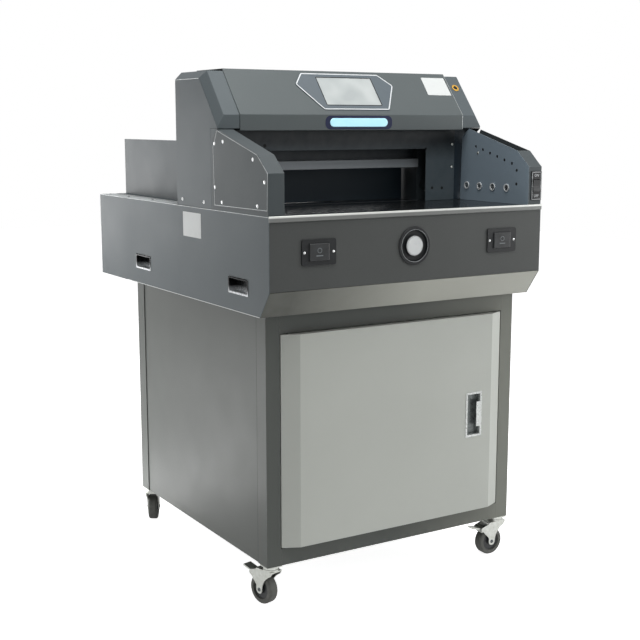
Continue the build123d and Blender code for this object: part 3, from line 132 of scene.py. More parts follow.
# %% Clouds, layers and skins
# The Mix node has sockets for every kind of data; these are the ones that it uses for colours
mix_factor, mix_under, mix_over, mixed = 0, 6, 7, 2


def span(low, high, start=0.3, end=0.7):
    """Map Range values that turn start to end into low to high; noise lies mostly in 0.3 to 0.7."""
    return {"From Min": start, "From Max": end, "To Min": low, "To Max": high}


def clouds(tree, place, size_mm, detail, *spans, roughness=0.5):
    """One noise whose blobs are about size_mm across, given back once for each span."""
    scale = {"Scale": 1 / mm(size_mm), "Detail": detail, "Roughness": roughness}
    blobs = add(tree, "ShaderNodeTexNoise", scale, {"Vector": place}).outputs["Fac"]
    ranges = [add(tree, "ShaderNodeMapRange", values, {"Value": blobs}) for values in spans]
    return [node.outputs["Result"] for node in ranges]


def layered(tree, base, *layers):
    """A base colour with others laid over it; a layer is a mask socket and a hex colour."""
    under = {}
    for mask, over in layers:
        values = {mix_under: linear(base), mix_over: linear(over)}
        mix = add(tree, "ShaderNodeMix", values, {mix_factor: mask, **under}, data_type="RGBA")
        under = {mix_under: mix.outputs[mixed]}
    return under[mix_under]


def skin(tree, shader, place, grain_mm, depth_mm, strength, detail=2.0):
    """A fine relief of a real grain and a real depth, sent to the shader."""
    scale = {"Scale": 1 / mm(grain_mm), "Detail": detail}
    grain = add(tree, "ShaderNodeTexNoise", scale, {"Vector": place}).outputs["Fac"]
    values = {"Strength": strength, "Distance": mm(depth_mm)}
    relief = add(tree, "ShaderNodeBump", values, {"Height": grain})
    feed(tree, shader, {"Normal": relief.outputs["Normal"]})


print("a mask that runs from 0 to 1:", span(0.0, 1.0))


# %% [markdown]
# ## Enamel on sheet steel
# Most of the machine is folded sheet steel sprayed with a metallic grey enamel. Sprayed enamel has
# a fine orange-peel skin, tiny flakes, painted as pale dots for their glint, and a colour that
# clouds a little over a large panel. Corners are painted paler, partly as wear and partly as a
# painted highlight along the fold. The Bevel node finds them: there its rounded normal leaves the
# true normal.

# %% Enamel finishes
def edge_mask(tree, place, radius_mm, patch_mm):
    """A mask of pale edges, partly wear and partly a painted highlight: where the surface turns,
    broken up by noise.
    """
    soft_normal = add(tree, "ShaderNodeBevel", {"Radius": mm(radius_mm)}, samples=4).outputs[0]
    true_normal = add(tree, "ShaderNodeNewGeometry").outputs["Normal"]
    both = {0: soft_normal, 1: true_normal}
    turn = add(tree, "ShaderNodeVectorMath", {}, both, operation="DOT_PRODUCT").outputs["Value"]
    edge = add(tree, "ShaderNodeMapRange", span(1.0, 0.0, 0.80, 0.985), {"Value": turn})
    patch = clouds(tree, place, patch_mm, 3.0, span(0.15, 1.0))[0]
    parts = {0: edge.outputs["Result"], 1: patch}
    return add(tree, "ShaderNodeMath", {}, parts, operation="MULTIPLY").outputs[0]


def enamel(name, base, clouded, worn_and_lit, roughness, metallic, shine, peel_mm=3.0):
    """Sprayed metallic enamel: clouded colour, flakes painted as a pale glint, orange peel and pale
    edges that are partly wear and partly a painted highlight.
    """
    values = {"Metallic": metallic, "Specular IOR Level": shine, "IOR": 1.5}
    material, tree, shader, place = new_material(name, values)
    cloud = clouds(tree, place, 260, 2.0, span(0.0, 1.0))[0]
    # Flakes are 0.1 mm in life; drawn at 1.6 mm as pale dots, a painted glint, so that they still
    # show as a faint sparkle
    flake = add(tree, "ShaderNodeTexVoronoi", {"Scale": 1 / mm(1.6)}, {"Vector": place})
    distance = {"Value": flake.outputs["Distance"]}
    flake_glint = add(tree, "ShaderNodeMapRange", span(0.05, 0.0, 0.05, 0.45), distance).outputs[0]
    edges = {"Value": edge_mask(tree, place, 1.4, 18)}
    # Pale edges: partly wear, partly a painted highlight along the folds
    wear = add(tree, "ShaderNodeMapRange", span(0.0, 0.55, 0.0, 1.0), edges).outputs[0]
    colour = layered(tree, base, (cloud, clouded), (flake_glint, worn_and_lit), (wear, worn_and_lit))
    smear = clouds(tree, place, 90, 4.0, span(roughness - 0.02, roughness + 0.03))[0]
    feed(tree, shader, {"Base Color": colour, "Roughness": smear})
    skin(tree, shader, place, peel_mm, 0.04, 0.5)
    return material


# Dark metallic enamel, sprayed and stoved: a soft sheen that picks up the pale room
body_enamel = enamel("body_enamel", "555c5f", "52595c", "9ba0a1", 0.46, 0.05, 0.16)
# Another batch of the coat, a trace greener: it parts the hood from its end caps
hood_enamel = enamel("hood_enamel", "575d5e", "545a5b", "9ba0a1", 0.46, 0.05, 0.16)
# A darker, neutral batch: a quiet ground for the controls on the front
front_enamel = enamel("front_enamel", "4d4f4e", "4a4c4b", "9ba0a1", 0.46, 0.05, 0.16)
# The darkest batch, on the cover plates: it lets the painted highlights on their edges show
cover_enamel = enamel("cover_enamel", "494f51", "464c4e", "9ba0a1", 0.46, 0.05, 0.16)
# The same coat on the cabinet, a shade browner and less bright: it sits back under the bed
cabinet_enamel = enamel("cabinet_enamel", "595c59", "565956", "969793", 0.46, 0.05, 0.16)
# Silver enamel on the door, the palest large surface: a smoother coat with a clearer sheen
door_enamel = enamel("door_enamel", "b3b6b0", "b0b3ad", "dcddda", 0.40, 0.10, 0.30)
# Blue-black enamel on the fence, so that a white stack stands out against it
fence_enamel = enamel("fence_enamel", "1b2730", "17232b", "4b5257", 0.45, 0.0, 0.25)
# Machine enamel on the castings and motors: thick, matt and fine-grained
casting_enamel = enamel("casting_enamel", "2c3235", "282d30", "5f666a", 0.55, 0.0, 0.25, 1.8)
# Pale matt enamel on the folded strips beside the rear table: chalky, with hardly a reflection
strip_enamel = enamel("strip_enamel", "c9cdce", "c3c7c8", "dcdedd", 0.80, 0.0, 0.05)
print("sprayed enamels:", len(bpy.data.materials))


# %% [markdown]
# Some pressed and folded sheets are painted with light and shade: a tone that changes across a
# fold, where one side meets the light and the other turns away. A ramp between two marks on the
# drawing follows the fold exactly, which a second piece of sheet would not do without a visible
# joint.

# %% Coats with painted light and shade across a fold
def graded(name, slow, fast, axis, start, end, roughness, metallic):
    """A coat whose tone changes from slow to fast between two millimetre marks on an axis, for
    painted light and shade.
    """
    values = {"Metallic": metallic, "Specular IOR Level": 0.3, "IOR": 1.5}
    material, tree, shader, place = new_material(name, values)
    along = add(tree, "ShaderNodeSeparateXYZ", {}, {0: place}).outputs[axis]
    marks = span(0.0, 1.0, mm(start), mm(end))
    ramp = add(tree, "ShaderNodeMapRange", marks, {"Value": along}).outputs[0]
    wear = clouds(tree, place, 30, 4.0, span(0.0, 0.04))[0]
    colour = layered(tree, slow, (ramp, fast), (wear, "a0a4a5"))
    smear = clouds(tree, place, 14, 4.0, span(roughness, roughness + 0.06))[0]
    feed(tree, shader, {"Base Color": colour, "Roughness": smear})
    skin(tree, shader, place, 3.0, 0.03, 0.4)
    return material


# The portal plate falls into shade under the hood
portal_enamel = graded("portal_enamel", "424b50", "141a1e", "Z", 1060, 1115, 0.45, 0.05)
# The clamp's toe is pale; above it the coat is painted dark, a painted shade in the mouth
clamp_painted_shade = graded("clamp_painted_shade", "8a8f93", "1c2328", "Z", 1064.5, 1066.5, 0.36, 0.15)
# Pressed and plated cups, painted: bright below as painted light, and as dark as a hole above as
# painted shade, so that they look deep
cup_painted_light_shade = graded("pressed_cup_painted_light_shade", "dfe2e4", "07090b", "Z", 765, 779, 0.24, 0.45)
# The plated pull is painted darker inwards, a painted shade, so that it reads as a recess for the
# fingers
pull_shade_marks = (bed_front + 49.5, bed_front + 60)
pull_painted_shade = graded("door_pull_painted_shade", "c9ccca", "6f7473", "Y", *pull_shade_marks, 0.24, 0.5)
# A satin coat with more metal in it on the bevelled band, with a painted reflection: darker at its
# left end and paler towards the light on the right
band_painted_reflection = graded("band_painted_reflection", "50514c", "95968e", "X", -330, 40, 0.30, 0.45)
# Bare folded steel on the lip of the table: a painted highlight, a bright line along the fold
lip_painted_highlight = graded("folded_lip_painted_highlight", "6e706e", "cfd1cd", "Z", 949.5, 951.5, 0.30, 0.8)


def recoated(name, coat, second, mask_of):
    """A copy of an enamel that turns to a second colour where a mask made from X says so."""
    material = coat.copy()
    material.name = name
    tree = material.node_tree
    shader = tree.nodes["Principled BSDF"]
    place = add(tree, "ShaderNodeTexCoord").outputs["Object"]
    across = add(tree, "ShaderNodeSeparateXYZ", {}, {0: place}).outputs["X"]
    first = shader.inputs["Base Color"].links[0].from_socket
    links = {mix_factor: mask_of(tree, across), mix_under: first}
    both = add(tree, "ShaderNodeMix", {mix_over: linear(second)}, links, data_type="RGBA")
    feed(tree, shader, {"Base Color": both.outputs[mixed]})
    return material


def inner_face(tree, across):
    """The inner face of the right guard, 358 mm from the middle."""
    values = {1: mm(358), 2: mm(0.4)}
    return add(tree, "ShaderNodeMath", values, {0: across}, operation="COMPARE").outputs[0]


def right_half(tree, across):
    """Growing from the middle to the right, and nothing on the outer right side."""
    half = span(0.0, 1.0, 0.0, mm(345))
    growing = add(tree, "ShaderNodeMapRange", half, {"Value": across}).outputs[0]
    inside = add(tree, "ShaderNodeMath", {1: mm(371.5)}, {0: across}, operation="LESS_THAN")
    parts = {0: growing, 1: inside.outputs[0]}
    return add(tree, "ShaderNodeMath", {}, parts, operation="MULTIPLY").outputs[0]


# The inner face of the right guard is painted lighter and bluer, a painted light, which brightens
# the mouth
guard_painted_light = recoated("guard_painted_light", cover_enamel, "85939e", inner_face)
# The front of the cabinet's frame pales towards its right end, as if it faced a window there
frame_enamel = recoated("frame_enamel", cabinet_enamel, "797b74", right_half)
print("graded and recoated coats are ready; materials so far:", len(bpy.data.materials))


# %% [markdown]
# ## Bare and plated metal
# Brushed steel carries fine parallel scratches, so its noise is stretched along one axis. Plate is
# smooth and bright, and only its roughness wanders a little. Tool steel has cross-grinding marks.

# %% Metal finishes
def brushed(name, base, streak, roughness, stretch, streak_mm):
    """Brushed metal: noise stretched along the axis whose stretch is smallest."""
    material, tree, shader, place = new_material(name, {"Metallic": 1.0})
    grain = add(tree, "ShaderNodeMapping", {"Scale": stretch}, {"Vector": place}).outputs["Vector"]
    spans = span(0.0, 1.0), span(roughness - 0.06, roughness + 0.08), span(0.0, 1.0, 0.0, 1.0)
    tone, shine, height = clouds(tree, grain, streak_mm, 6.0, *spans, roughness=0.65)
    values = {"Strength": 0.4, "Distance": mm(0.02)}
    relief = add(tree, "ShaderNodeBump", values, {"Height": height}).outputs["Normal"]
    colour = layered(tree, base, (tone, streak))
    feed(tree, shader, {"Base Color": colour, "Roughness": shine, "Normal": relief})
    return material


def plated(name, base, dull, roughness, blotch_mm=14):
    """Smooth plating: even colour with faint blotches in its shine."""
    material, tree, shader, place = new_material(name, {"Metallic": 1.0})
    spans = span(0.0, 1.0), span(roughness, roughness + 0.10)
    tone, shine = clouds(tree, place, blotch_mm, 4.0, *spans)
    feed(tree, shader, {"Base Color": layered(tree, base, (tone, dull)), "Roughness": shine})
    skin(tree, shader, place, 2.5, 0.01, 0.3)
    return material


# Dark polished plate on the tables: long soft reflections that streak from side to side
table_steel = brushed("polished_dark_plate", "5f6264", "4c4f51", 0.20, (0.03, 1.0, 1.0), 2.0)
# Ground tool steel: grinding marks that stand upright and break the light on the blade
blade_steel = brushed("ground_tool_steel", "a8abad", "8d9092", 0.24, (1.0, 1.0, 0.05), 1.0)
# Chrome: the clearest mirror on the machine
chrome = plated("chrome_plate", "dfe1e2", "cfd1d3", 0.06)
# Zinc: a grey, milky mirror with blotches
zinc = plated("zinc_plate", "c2c4c0", "b0b2ab", 0.30, 9)
# Machined brass: the one warm metal, satin from the tool
brass = plated("machined_brass", "b08d4f", "8f7038", 0.28, 9)
# Nickel on the screws: small bright dots with a soft edge
fastener = plated("nickel_fasteners", "d5d6d6", "b9bbbb", 0.22, 6)
# A painted highlight along sheet edges: paler than the coat beside it and dull, so it shows as a
# thin line
edge_highlight = plated("painted_edge_highlight", "c2c5c5", "a9adad", 0.36, 6)
print("metals ready")


# %% [markdown]
# ## Plastics, rubber, glass and light
# Moulded ABS has a spark-eroded grain. The screen is glass over a pale lit panel. The light bar is
# a clear lens over lamps, so it both shines and keeps a glossy skin.

# %% Plastics, rubber, glass and light
def moulded(name, base, scuffed, roughness, grain_mm, depth_mm=0.05):
    """Moulded plastic or rubber with a fine grain and scuffs."""
    material, tree, shader, place = new_material(name, {"IOR": 1.5, "Specular IOR Level": 0.3})
    spans = span(0.0, 0.4, 0.5, 0.85), span(roughness - 0.05, roughness + 0.1)
    scuff, shine = clouds(tree, place, 22, 5.0, *spans, roughness=0.6)
    feed(tree, shader, {"Base Color": layered(tree, base, (scuff, scuffed)), "Roughness": shine})
    skin(tree, shader, place, grain_mm, depth_mm, 0.6)
    return material


def lit(name, base, glow, strength, roughness, cloud_mm):
    """A lit lens or panel: its colour clouds gently, as light does through a diffuser."""
    values = {"Roughness": roughness, "Emission Strength": strength, "Coat Weight": 0.4}
    material, tree, shader, place = new_material(name, values)
    cloud = clouds(tree, place, cloud_mm, 1.0, span(0.0, 1.0))[0]
    surface = layered(tree, base, (cloud, glow))
    light = layered(tree, glow, (cloud, base))
    feed(tree, shader, {"Base Color": surface, "Emission Color": light})
    skin(tree, shader, place, 8, 0.01, 0.2, detail=1.0)
    return material


# Black ABS on the housings: a soft, slightly grainy sheen
black_abs = moulded("moulded_abs", "0c0f11", "1c2124", 0.46, 0.9)
# The same plastic on the jog wheel, polished a little by fingers
knob_abs = moulded("knob_abs", "0b0e10", "1c2124", 0.40, 1.1)
# White printed film on the stickers, and the same white as a painted highlight along two sheet
# edges: flat and even, without a grain
white_film_and_highlight = moulded("white_film_and_painted_highlight", "cdd0cf", "c0c4c3", 0.45, 3.0, 0.01)
# Dark blue window round the lamps: it looks black until light falls on it
window_navy = moulded("dark_blue_window", "0d1638", "16224a", 0.40, 3.0, 0.01)
# Yellow anodised ring: the one strong colour, a small warm accent on the dark cap
seal_yellow = moulded("yellow_anodised_ring", "c79a3c", "a87e28", 0.30, 2.0, 0.01)
# Grey film round the screen, nearly as dark as the hood: only its outline shows
panel_film = moulded("screen_surround_film", "545d63", "4c555c", 0.40, 3.0, 0.01)
# Pale ink: crisp lines and letters; the same pale also paints a highlight round the jog wheel's
# dish
pale_print_and_highlight = moulded("pale_print_and_painted_highlight", "ced2d4", "bcc0c2", 0.40, 3.0, 0.01)
# Dark nylon in the cutting stick: waxy, and scuffed grey by the knife
stick_nylon = moulded("dark_nylon", "2b2e30", "43474a", 0.45, 1.2)
# The dark of a gap or a hole: no reflection at all
gap_black = moulded("shadow_gap", "0b0c0d", "131416", 0.70, 2.0)
# Satin silver lacquer on caps and rims: bright but never a mirror
cap_silver = moulded("satin_cap_lacquer", "d3d6d6", "c2c6c7", 0.30, 2.0, 0.01)
# Glass over a panel that hardly glows: glossy, pale and even
screen_face = lit("display_glass", "9fa5a5", "b4b9b8", 0.05, 0.12, 60)
# A clear lens over lamps: it gives a light of its own, cool and a little cloudy
lens = lit("lit_lens", "a4e0f0", "c3ecf8", 0.34, 0.22, 60)
print("plastics and lights ready")


# %% [markdown]
# Two parts are moulded in one piece but show two finishes. A caster wheel is a grey tyre on a dark
# hub, so its colour changes with the distance from its own axle. A cut button has a ring and a bar
# printed on it, found by the distance from its centre.

# %% Wheels and buttons
def wheel_finish(name, centre, axis, hub_mm):
    """Grey rubber outside a dark nylon hub, parted by the distance from the axle."""
    material, tree, shader, place = new_material(name, {"IOR": 1.5})
    offset = add(tree, "ShaderNodeVectorMath", {1: centre}, {0: place}, operation="SUBTRACT")
    links = {0: offset.outputs["Vector"]}
    across = add(tree, "ShaderNodeVectorMath", {1: axis}, links, operation="CROSS_PRODUCT")
    links = {0: across.outputs["Vector"]}
    radius = add(tree, "ShaderNodeVectorMath", {}, links, operation="LENGTH").outputs["Value"]
    rim = span(0.0, 1.0, mm(hub_mm - 0.4), mm(hub_mm + 0.4))
    tyre = add(tree, "ShaderNodeMapRange", rim, {"Value": radius}).outputs[0]
    dust = clouds(tree, place, 18, 5.0, span(0.0, 0.6, 0.45, 0.8), roughness=0.6)[0]
    rubber = layered(tree, "4f504c", (dust, "6a6b66"))
    nylon = layered(tree, "26282a", (dust, "3b3d3f"))
    links = {mix_factor: tyre, mix_under: nylon, mix_over: rubber}
    colour = add(tree, "ShaderNodeMix", {}, links, data_type="RGBA").outputs[mixed]
    shine = add(tree, "ShaderNodeMapRange", span(0.42, 0.66, 0.0, 1.0), {"Value": tyre})
    feed(tree, shader, {"Base Color": colour, "Roughness": shine.outputs[0]})
    skin(tree, shader, place, 1.4, 0.06, 0.6)
    return material


def button_finish(name, centre_x, centre_z):
    """Dark ABS with a thin grey ring and bar printed on it, the same on both buttons."""
    material, tree, shader, place = new_material(name, {"IOR": 1.5})
    axes = add(tree, "ShaderNodeSeparateXYZ", {}, {0: place}).outputs
    side = add(tree, "ShaderNodeMath", {}, {0: axes["X"]}, operation="ABSOLUTE").outputs[0]
    flat = add(tree, "ShaderNodeCombineXYZ", {}, {"X": side, "Z": axes["Z"]}).outputs[0]
    ring_middle = {1: (mm(centre_x), 0.0, mm(centre_z + 4))}
    radius = add(tree, "ShaderNodeVectorMath", ring_middle, {0: flat}, operation="DISTANCE")
    # The ring, then the height and the width of the bar: a value, its middle and half its width
    bands = (
        (radius.outputs["Value"], mm(5.5), mm(0.6)),
        (axes["Z"], mm(centre_z - 8), mm(1.2)),
        (side, mm(centre_x), mm(9)),
    )
    masks = []
    for value, middle, half in bands:
        limits = {1: middle, 2: half}
        masks.append(add(tree, "ShaderNodeMath", limits, {0: value}, operation="COMPARE"))
    ring, level, width = [mask.outputs[0] for mask in masks]
    bar = add(tree, "ShaderNodeMath", {}, {0: level, 1: width}, operation="MULTIPLY").outputs[0]
    printed = add(tree, "ShaderNodeMath", {}, {0: ring, 1: bar}, operation="MAXIMUM").outputs[0]
    spans = span(0.0, 0.6, 0.45, 0.8), span(0.26, 0.38)
    scuff, shine = clouds(tree, place, 22, 5.0, *spans, roughness=0.6)
    colour = layered(tree, "121517", (scuff, "24282b"), (printed, "6f7578"))
    feed(tree, shader, {"Base Color": colour, "Roughness": shine})
    skin(tree, shader, place, 1.5, 0.02, 0.6)
    return material


# Button ABS, glossier than the housing round it, so that the ring and bar catch the eye
button_abs = button_finish("printed_button_abs", 270, 869)
print("materials in all:", len(bpy.data.materials))


# %% [markdown]
# ## Softening the folded edges
# Sheet steel never folds to a knife edge, and the thin line of light along a fold is what makes it
# look like metal. Each visible solid is copied, its loose triangles are merged, and a Bevel
# modifier rounds what turns by more than 30 degrees. The copy then stands for the solid.

# %% Edge softening
def mesh_of(node):
    """A merged copy of a solid's mesh, with its flat faces made whole."""
    mesh = frame["nodes"][node].data.copy()
    shape = bmesh.new()
    shape.from_mesh(mesh)
    bmesh.ops.remove_doubles(shape, verts=shape.verts, dist=mm(0.005))
    flat = math.radians(0.5)
    bmesh.ops.dissolve_limit(shape, angle_limit=flat, verts=shape.verts, edges=shape.edges)
    shape.to_mesh(mesh)
    shape.free()
    mesh.materials.clear()
    return mesh


def plain_mesh(piece):
    """Apply a piece's modifiers and drop them."""
    bpy.context.view_layer.update()
    graph = bpy.context.evaluated_depsgraph_get()
    mesh = bpy.data.meshes.new_from_object(piece.evaluated_get(graph), depsgraph=graph)
    piece.modifiers.clear()
    piece.data = mesh


def add_piece(name, mesh, material):
    """Link a mesh into the scene as a piece with one material."""
    piece = bpy.data.objects.new(name, mesh)
    bpy.context.scene.collection.objects.link(piece)
    mesh.materials.clear()
    mesh.materials.append(material)
    return piece


def seat(piece, body):
    """Put a finished piece on its body."""
    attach(piece, body)


def extent(piece):
    """The largest corner coordinates of a piece, in whole tenths of a millimetre."""
    corners = [[v.co[axis] for v in piece.data.vertices] for axis in range(3)]
    return [round(limit(c) * 10000) for c in corners for limit in (min, max)]


def soften(node, material, width_mm, fold_deg=8, cutter=None):
    """Replace a solid by a copy with rounded edges and flat faces that stay flat."""
    solid = frame["nodes"][node]
    piece = add_piece(node + "_soft", mesh_of(node), material)
    if cutter:
        cut = piece.modifiers.new("bite", "BOOLEAN")
        cut.operation = "DIFFERENCE"
        cut.solver = "EXACT"
        cut.object = cutter
        plain_mesh(piece)
        bpy.data.objects.remove(cutter)
    piece.data.shade_smooth()
    piece.data.set_sharp_from_angle(angle=math.radians(fold_deg))
    bevel = piece.modifiers.new("rounded_edges", "BEVEL")
    bevel.width = mm(width_mm)
    bevel.segments = 2
    bevel.limit_method = "ANGLE"
    bevel.angle_limit = math.radians(30)
    normals = piece.modifiers.new("flat_faces", "WEIGHTED_NORMAL")
    normals.mode = "FACE_AREA"
    normals.weight = 100
    normals.keep_sharp = True
    plain_mesh(piece)
    if extent(piece) != extent(solid):
        print("check the size of", node, extent(piece), extent(solid))
    seat(piece, solid["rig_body"])
    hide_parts(node)


softened = {
    "bed_covers": (body_enamel, 0.7),
    "front_panel": (front_enamel, 0.5),
    "rear_panel": (body_enamel, 0.5),
    "front_bevel": (band_painted_reflection, 0.6),
    "hood_cover": (hood_enamel, 1.1),
    "hood_rear_cover": (hood_enamel, 0.6),
    "end_caps": (body_enamel, 0.9),
    "side_guards": (guard_painted_light, 0.8),
    "front_plate": (portal_enamel, 0.6),
    "rear_guards": (body_enamel, 0.6),
    "cabinet_frame": (frame_enamel, 0.9),
    "cabinet_panels": (cabinet_enamel, 0.6),
    "door": (door_enamel, 0.7),
    "front_table": (table_steel, 0.5),
    "rear_table": (table_steel, 0.5),
    "table_lip": (lip_painted_highlight, 0.4),
    "clamp_beam": (clamp_painted_shade, 1.2),
    "gauge_fence": (fence_enamel, 0.8),
    "button_housings": (black_abs, 0.6),
    "cut_button_left": (button_abs, 0.5),
    "cut_button_right": (button_abs, 0.5),
    "door_pull": (pull_painted_shade, 0.5),
    "carry_cups": (cup_painted_light_shade, 0.4),
    "wheel_rim": (knob_abs, 0.6),
    "switch_frame": (black_abs, 0.3),
    "power_rocker": (button_abs, 0.5),
}
for node, (material, width) in softened.items():
    soften(node, material, width)
print("softened", len(softened), "solids")


# %% [markdown]
# A caster's fork is pressed with a waist, so that its arms curve in towards the axle. One round
# bite across both arms, on the king pin's side, gives the curve; the rest of the fork stays.

# %% Waisted forks
axles = {joint["name"]: joint["axis"] for joint in frame["joints"]}
corners = ("front_left", "front_right", "rear_left", "rear_right")
# In millimetres: the radius of the bite, how far behind the wheel and how high its middle lies, its
# length across the fork, and the height above which a fork is all king pin
bite_radius, bite_back, bite_height, bite_length, pin_start = 49, 58.9, 35, 60, 88


def wheel_middle(corner):
    """The middle of a caster wheel."""
    wheel = frame["nodes"]["wheel_" + corner]
    return sum((Vector(c) for c in wheel.bound_box), Vector()) / 8


def bite(corner):
    """A cylinder across the fork, on the side of the king pin."""
    axle = Vector(axles["roll_" + corner])
    middle = wheel_middle(corner)
    fork = frame["nodes"]["fork_" + corner]
    pins = [v.co for v in fork.data.vertices if v.co.z > mm(pin_start)]
    pin = sum(pins, Vector()) / len(pins)
    heading = (middle - pin).cross(axle).cross(axle)
    heading = Vector((heading.x, heading.y, 0)).normalized()
    if heading.dot(middle - pin) < 0:
        heading.negate()
    centre = Vector((middle.x, middle.y, mm(bite_height))) - heading * mm(bite_back)
    turn = Vector((0, 0, 1)).rotation_difference(axle).to_matrix().to_4x4()
    shape = bmesh.new()
    bmesh.ops.create_cone(
        shape,
        cap_ends=True,
        segments=96,
        radius1=mm(bite_radius),
        radius2=mm(bite_radius),
        depth=mm(bite_length),
        matrix=Matrix.Translation(centre) @ turn,
    )
    mesh = bpy.data.meshes.new("bite_" + corner)
    shape.to_mesh(mesh)
    shape.free()
    cutter = bpy.data.objects.new("bite_" + corner, mesh)
    bpy.context.scene.collection.objects.link(cutter)
    return cutter


for corner in corners:
    soften("fork_" + corner, zinc, 0.5, cutter=bite(corner))
print("waisted", len(corners), "forks")


# %% [markdown]
# ## Finishes on the solids that stay
# What already has its true shape only needs its finish, set in the solid's own material slot.

# %% Finishes on the other solids
castings = ("uprights", "crossbeam", "bed_frame", "gauge_supports", "gauge_carriage")
castings += ("knife_gearmotor", "clamp_gearbox", "gauge_motor", "knife_carrier")
coated = (
    (casting_enamel, castings),
    (blade_steel, ("pull_rod", "crank", "knife_blade")),
    (brass, ("knife_sliders",)),
    (zinc, ("clamp_screw", "gauge_screw", "gauge_rails", "caster_plates")),
    (stick_nylon, ("cutting_stick",)),
    (black_abs, ("door_catch", "power_inlet")),
    (panel_film, ("screen_panel",)),
    (screen_face, ("screen_glass",)),
    (lens, ("light_bar",)),
    (cap_silver, ("wheel_cap",)),
)
finishes = {node: material for material, nodes in coated for node in nodes}
hub_radius = 24
for corner in corners:
    name = "wheel_" + corner
    axle = axles["roll_" + corner]
    finishes[name] = wheel_finish(name, wheel_middle(corner), axle, hub_radius)
    if corner.startswith("front"):
        finishes["brake_" + corner] = zinc
for node, material in finishes.items():
    solid = frame["nodes"][node]
    solid.data.materials.clear()
    solid.data.materials.append(material)
print("finished", len(finishes), "solids")


# %% [markdown]
# ## Trim plates and rings
# A sticker, a cover plate and a printed line are all flat shapes that stand a hair above a face.
# The machine has a handful of such faces. Each gets a small function that turns two lengths along
# the face and a height above it into a point, so every trim is drawn as it would be measured.

# %% The faces that carry trims
def side_face(x, way):
    """A face turned to the right when the way is 1, or to the left when it is -1."""
    return lambda depth, z, rise=0.0: at(x + way * rise, depth, z)


def front_face(depth):
    """A face turned to the front, at a depth behind the front of the bed."""
    return lambda x, z, rise=0.0: at(x, depth - rise, z)


def sloping(depth, z, run, climb):
    """A face that climbs backwards: run is how far it goes back for its climb."""
    slant = math.hypot(run, climb)
    back, up = run / slant, climb / slant
    return lambda x, s, rise=0.0: at(x, depth + s * back - rise * up, z + s * up + rise * back)


def level(z):
    """A face turned up, at a height above the floor."""
    return lambda x, depth, rise=0.0: at(x, depth, z + rise)


# In millimetres: how far the main side faces lie from the middle, how high the table is, and how
# far back the hood and the portal plate start
bed_side, cap_side, guard_inner = 400, 399, 358
table_top, hood_front, portal_front = 953, 250, 284
sides = ((-1, "left"), (1, "right"))
left_side = side_face(-bed_side, -1)
left_cap_side = side_face(-cap_side, -1)
right_inner = side_face(guard_inner, -1)
portal_face = front_face(portal_front)
hood_slope = sloping(250, 1181, 91, 111)
cap_slope = sloping(251, 1180, 86, 106)
print("one millimetre up the hood slope:", hood_slope(0, 1) - hood_slope(0, 0))


# %% [markdown]
# A flat outline becomes a thin plate, and the strip between an outline and its inset becomes a thin
# ring. Both close on all sides, so their edges catch light as a real plate's do.

# %% Plates and rings from outlines
def rounded(outline, radius, steps=5):
    """The outline with each corner turned by an arc of the given radius."""
    points = []
    for i, corner in enumerate(outline):
        here = Vector(corner)
        before = (Vector(outline[i - 1]) - here).normalized()
        after = (Vector(outline[(i + 1) % len(outline)]) - here).normalized()
        half = before.angle(after) / 2
        reach = radius / math.tan(half)
        first, last = here + before * reach, here + after * reach
        middle = here + (before + after).normalized() * (radius / math.sin(half))
        start, end = first - middle, last - middle
        turn = start.angle_signed(end)
        for step in range(steps + 1):
            angle = -turn * step / steps
            points.append(tuple(middle + Matrix.Rotation(angle, 2) @ start))
    return points


def inset(outline, width):
    """The outline moved inwards by a width, for corners given anticlockwise."""
    points = []
    for i, corner in enumerate(outline):
        here = Vector(corner)
        along = (here - Vector(outline[i - 1])).normalized()
        onward = (Vector(outline[(i + 1) % len(outline)]) - here).normalized()
        inward = Vector((-along.y, along.x)) + Vector((-onward.y, onward.x))
        inward.normalize()
        depth = width / inward.dot(Vector((-along.y, along.x)))
        points.append(tuple(here + inward * depth))
    return points


def box_outline(low, high):
    """The four corners of a rectangle, anticlockwise."""
    return [low, (high[0], low[1]), high, (low[0], high[1])]


def circle_outline(centre, radius, steps=32):
    """A circle as corners, anticlockwise."""
    a, b = centre
    turns = [2 * math.pi * i / steps for i in range(steps)]
    return [(a + radius * math.cos(t), b + radius * math.sin(t)) for t in turns]


def trim(name, loops, surface, heights, material, node="bed_covers"):
    """A plate from one loop, or a ring from two, between two heights above a surface."""
    shape = bmesh.new()
    rows = []
    for loop in loops:
        rows += [[shape.verts.new(surface(a, b, rise)) for a, b in loop] for rise in heights]
    count = len(loops[0])
    walls = [(rows[0], rows[1])] + ([(rows[3], rows[2])] if len(loops) == 2 else [])
    for low, high in walls:
        for i in range(count):
            j = (i + 1) % count
            shape.faces.new((low[i], low[j], high[j], high[i]))
    if len(loops) == 1:
        shape.faces.new(rows[1])
        shape.faces.new(rows[0][::-1])
    else:
        for i in range(count):
            j = (i + 1) % count
            shape.faces.new((rows[1][i], rows[1][j], rows[3][j], rows[3][i]))
            shape.faces.new((rows[0][j], rows[0][i], rows[2][i], rows[2][j]))
    bmesh.ops.recalc_face_normals(shape, faces=shape.faces)
    mesh = bpy.data.meshes.new(name)
    shape.to_mesh(mesh)
    shape.free()
    seat(add_piece(name, mesh, material), frame["nodes"][node]["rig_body"])


print("a rounded square has", len(rounded(box_outline((0, 0), (10, 10)), 2)), "corners")


# %% [markdown]
# Each side guard is closed by a screwed cover plate. A narrow painted highlight runs along its
# edge, along the bottom and up over the slope. Two plain stickers are blank.

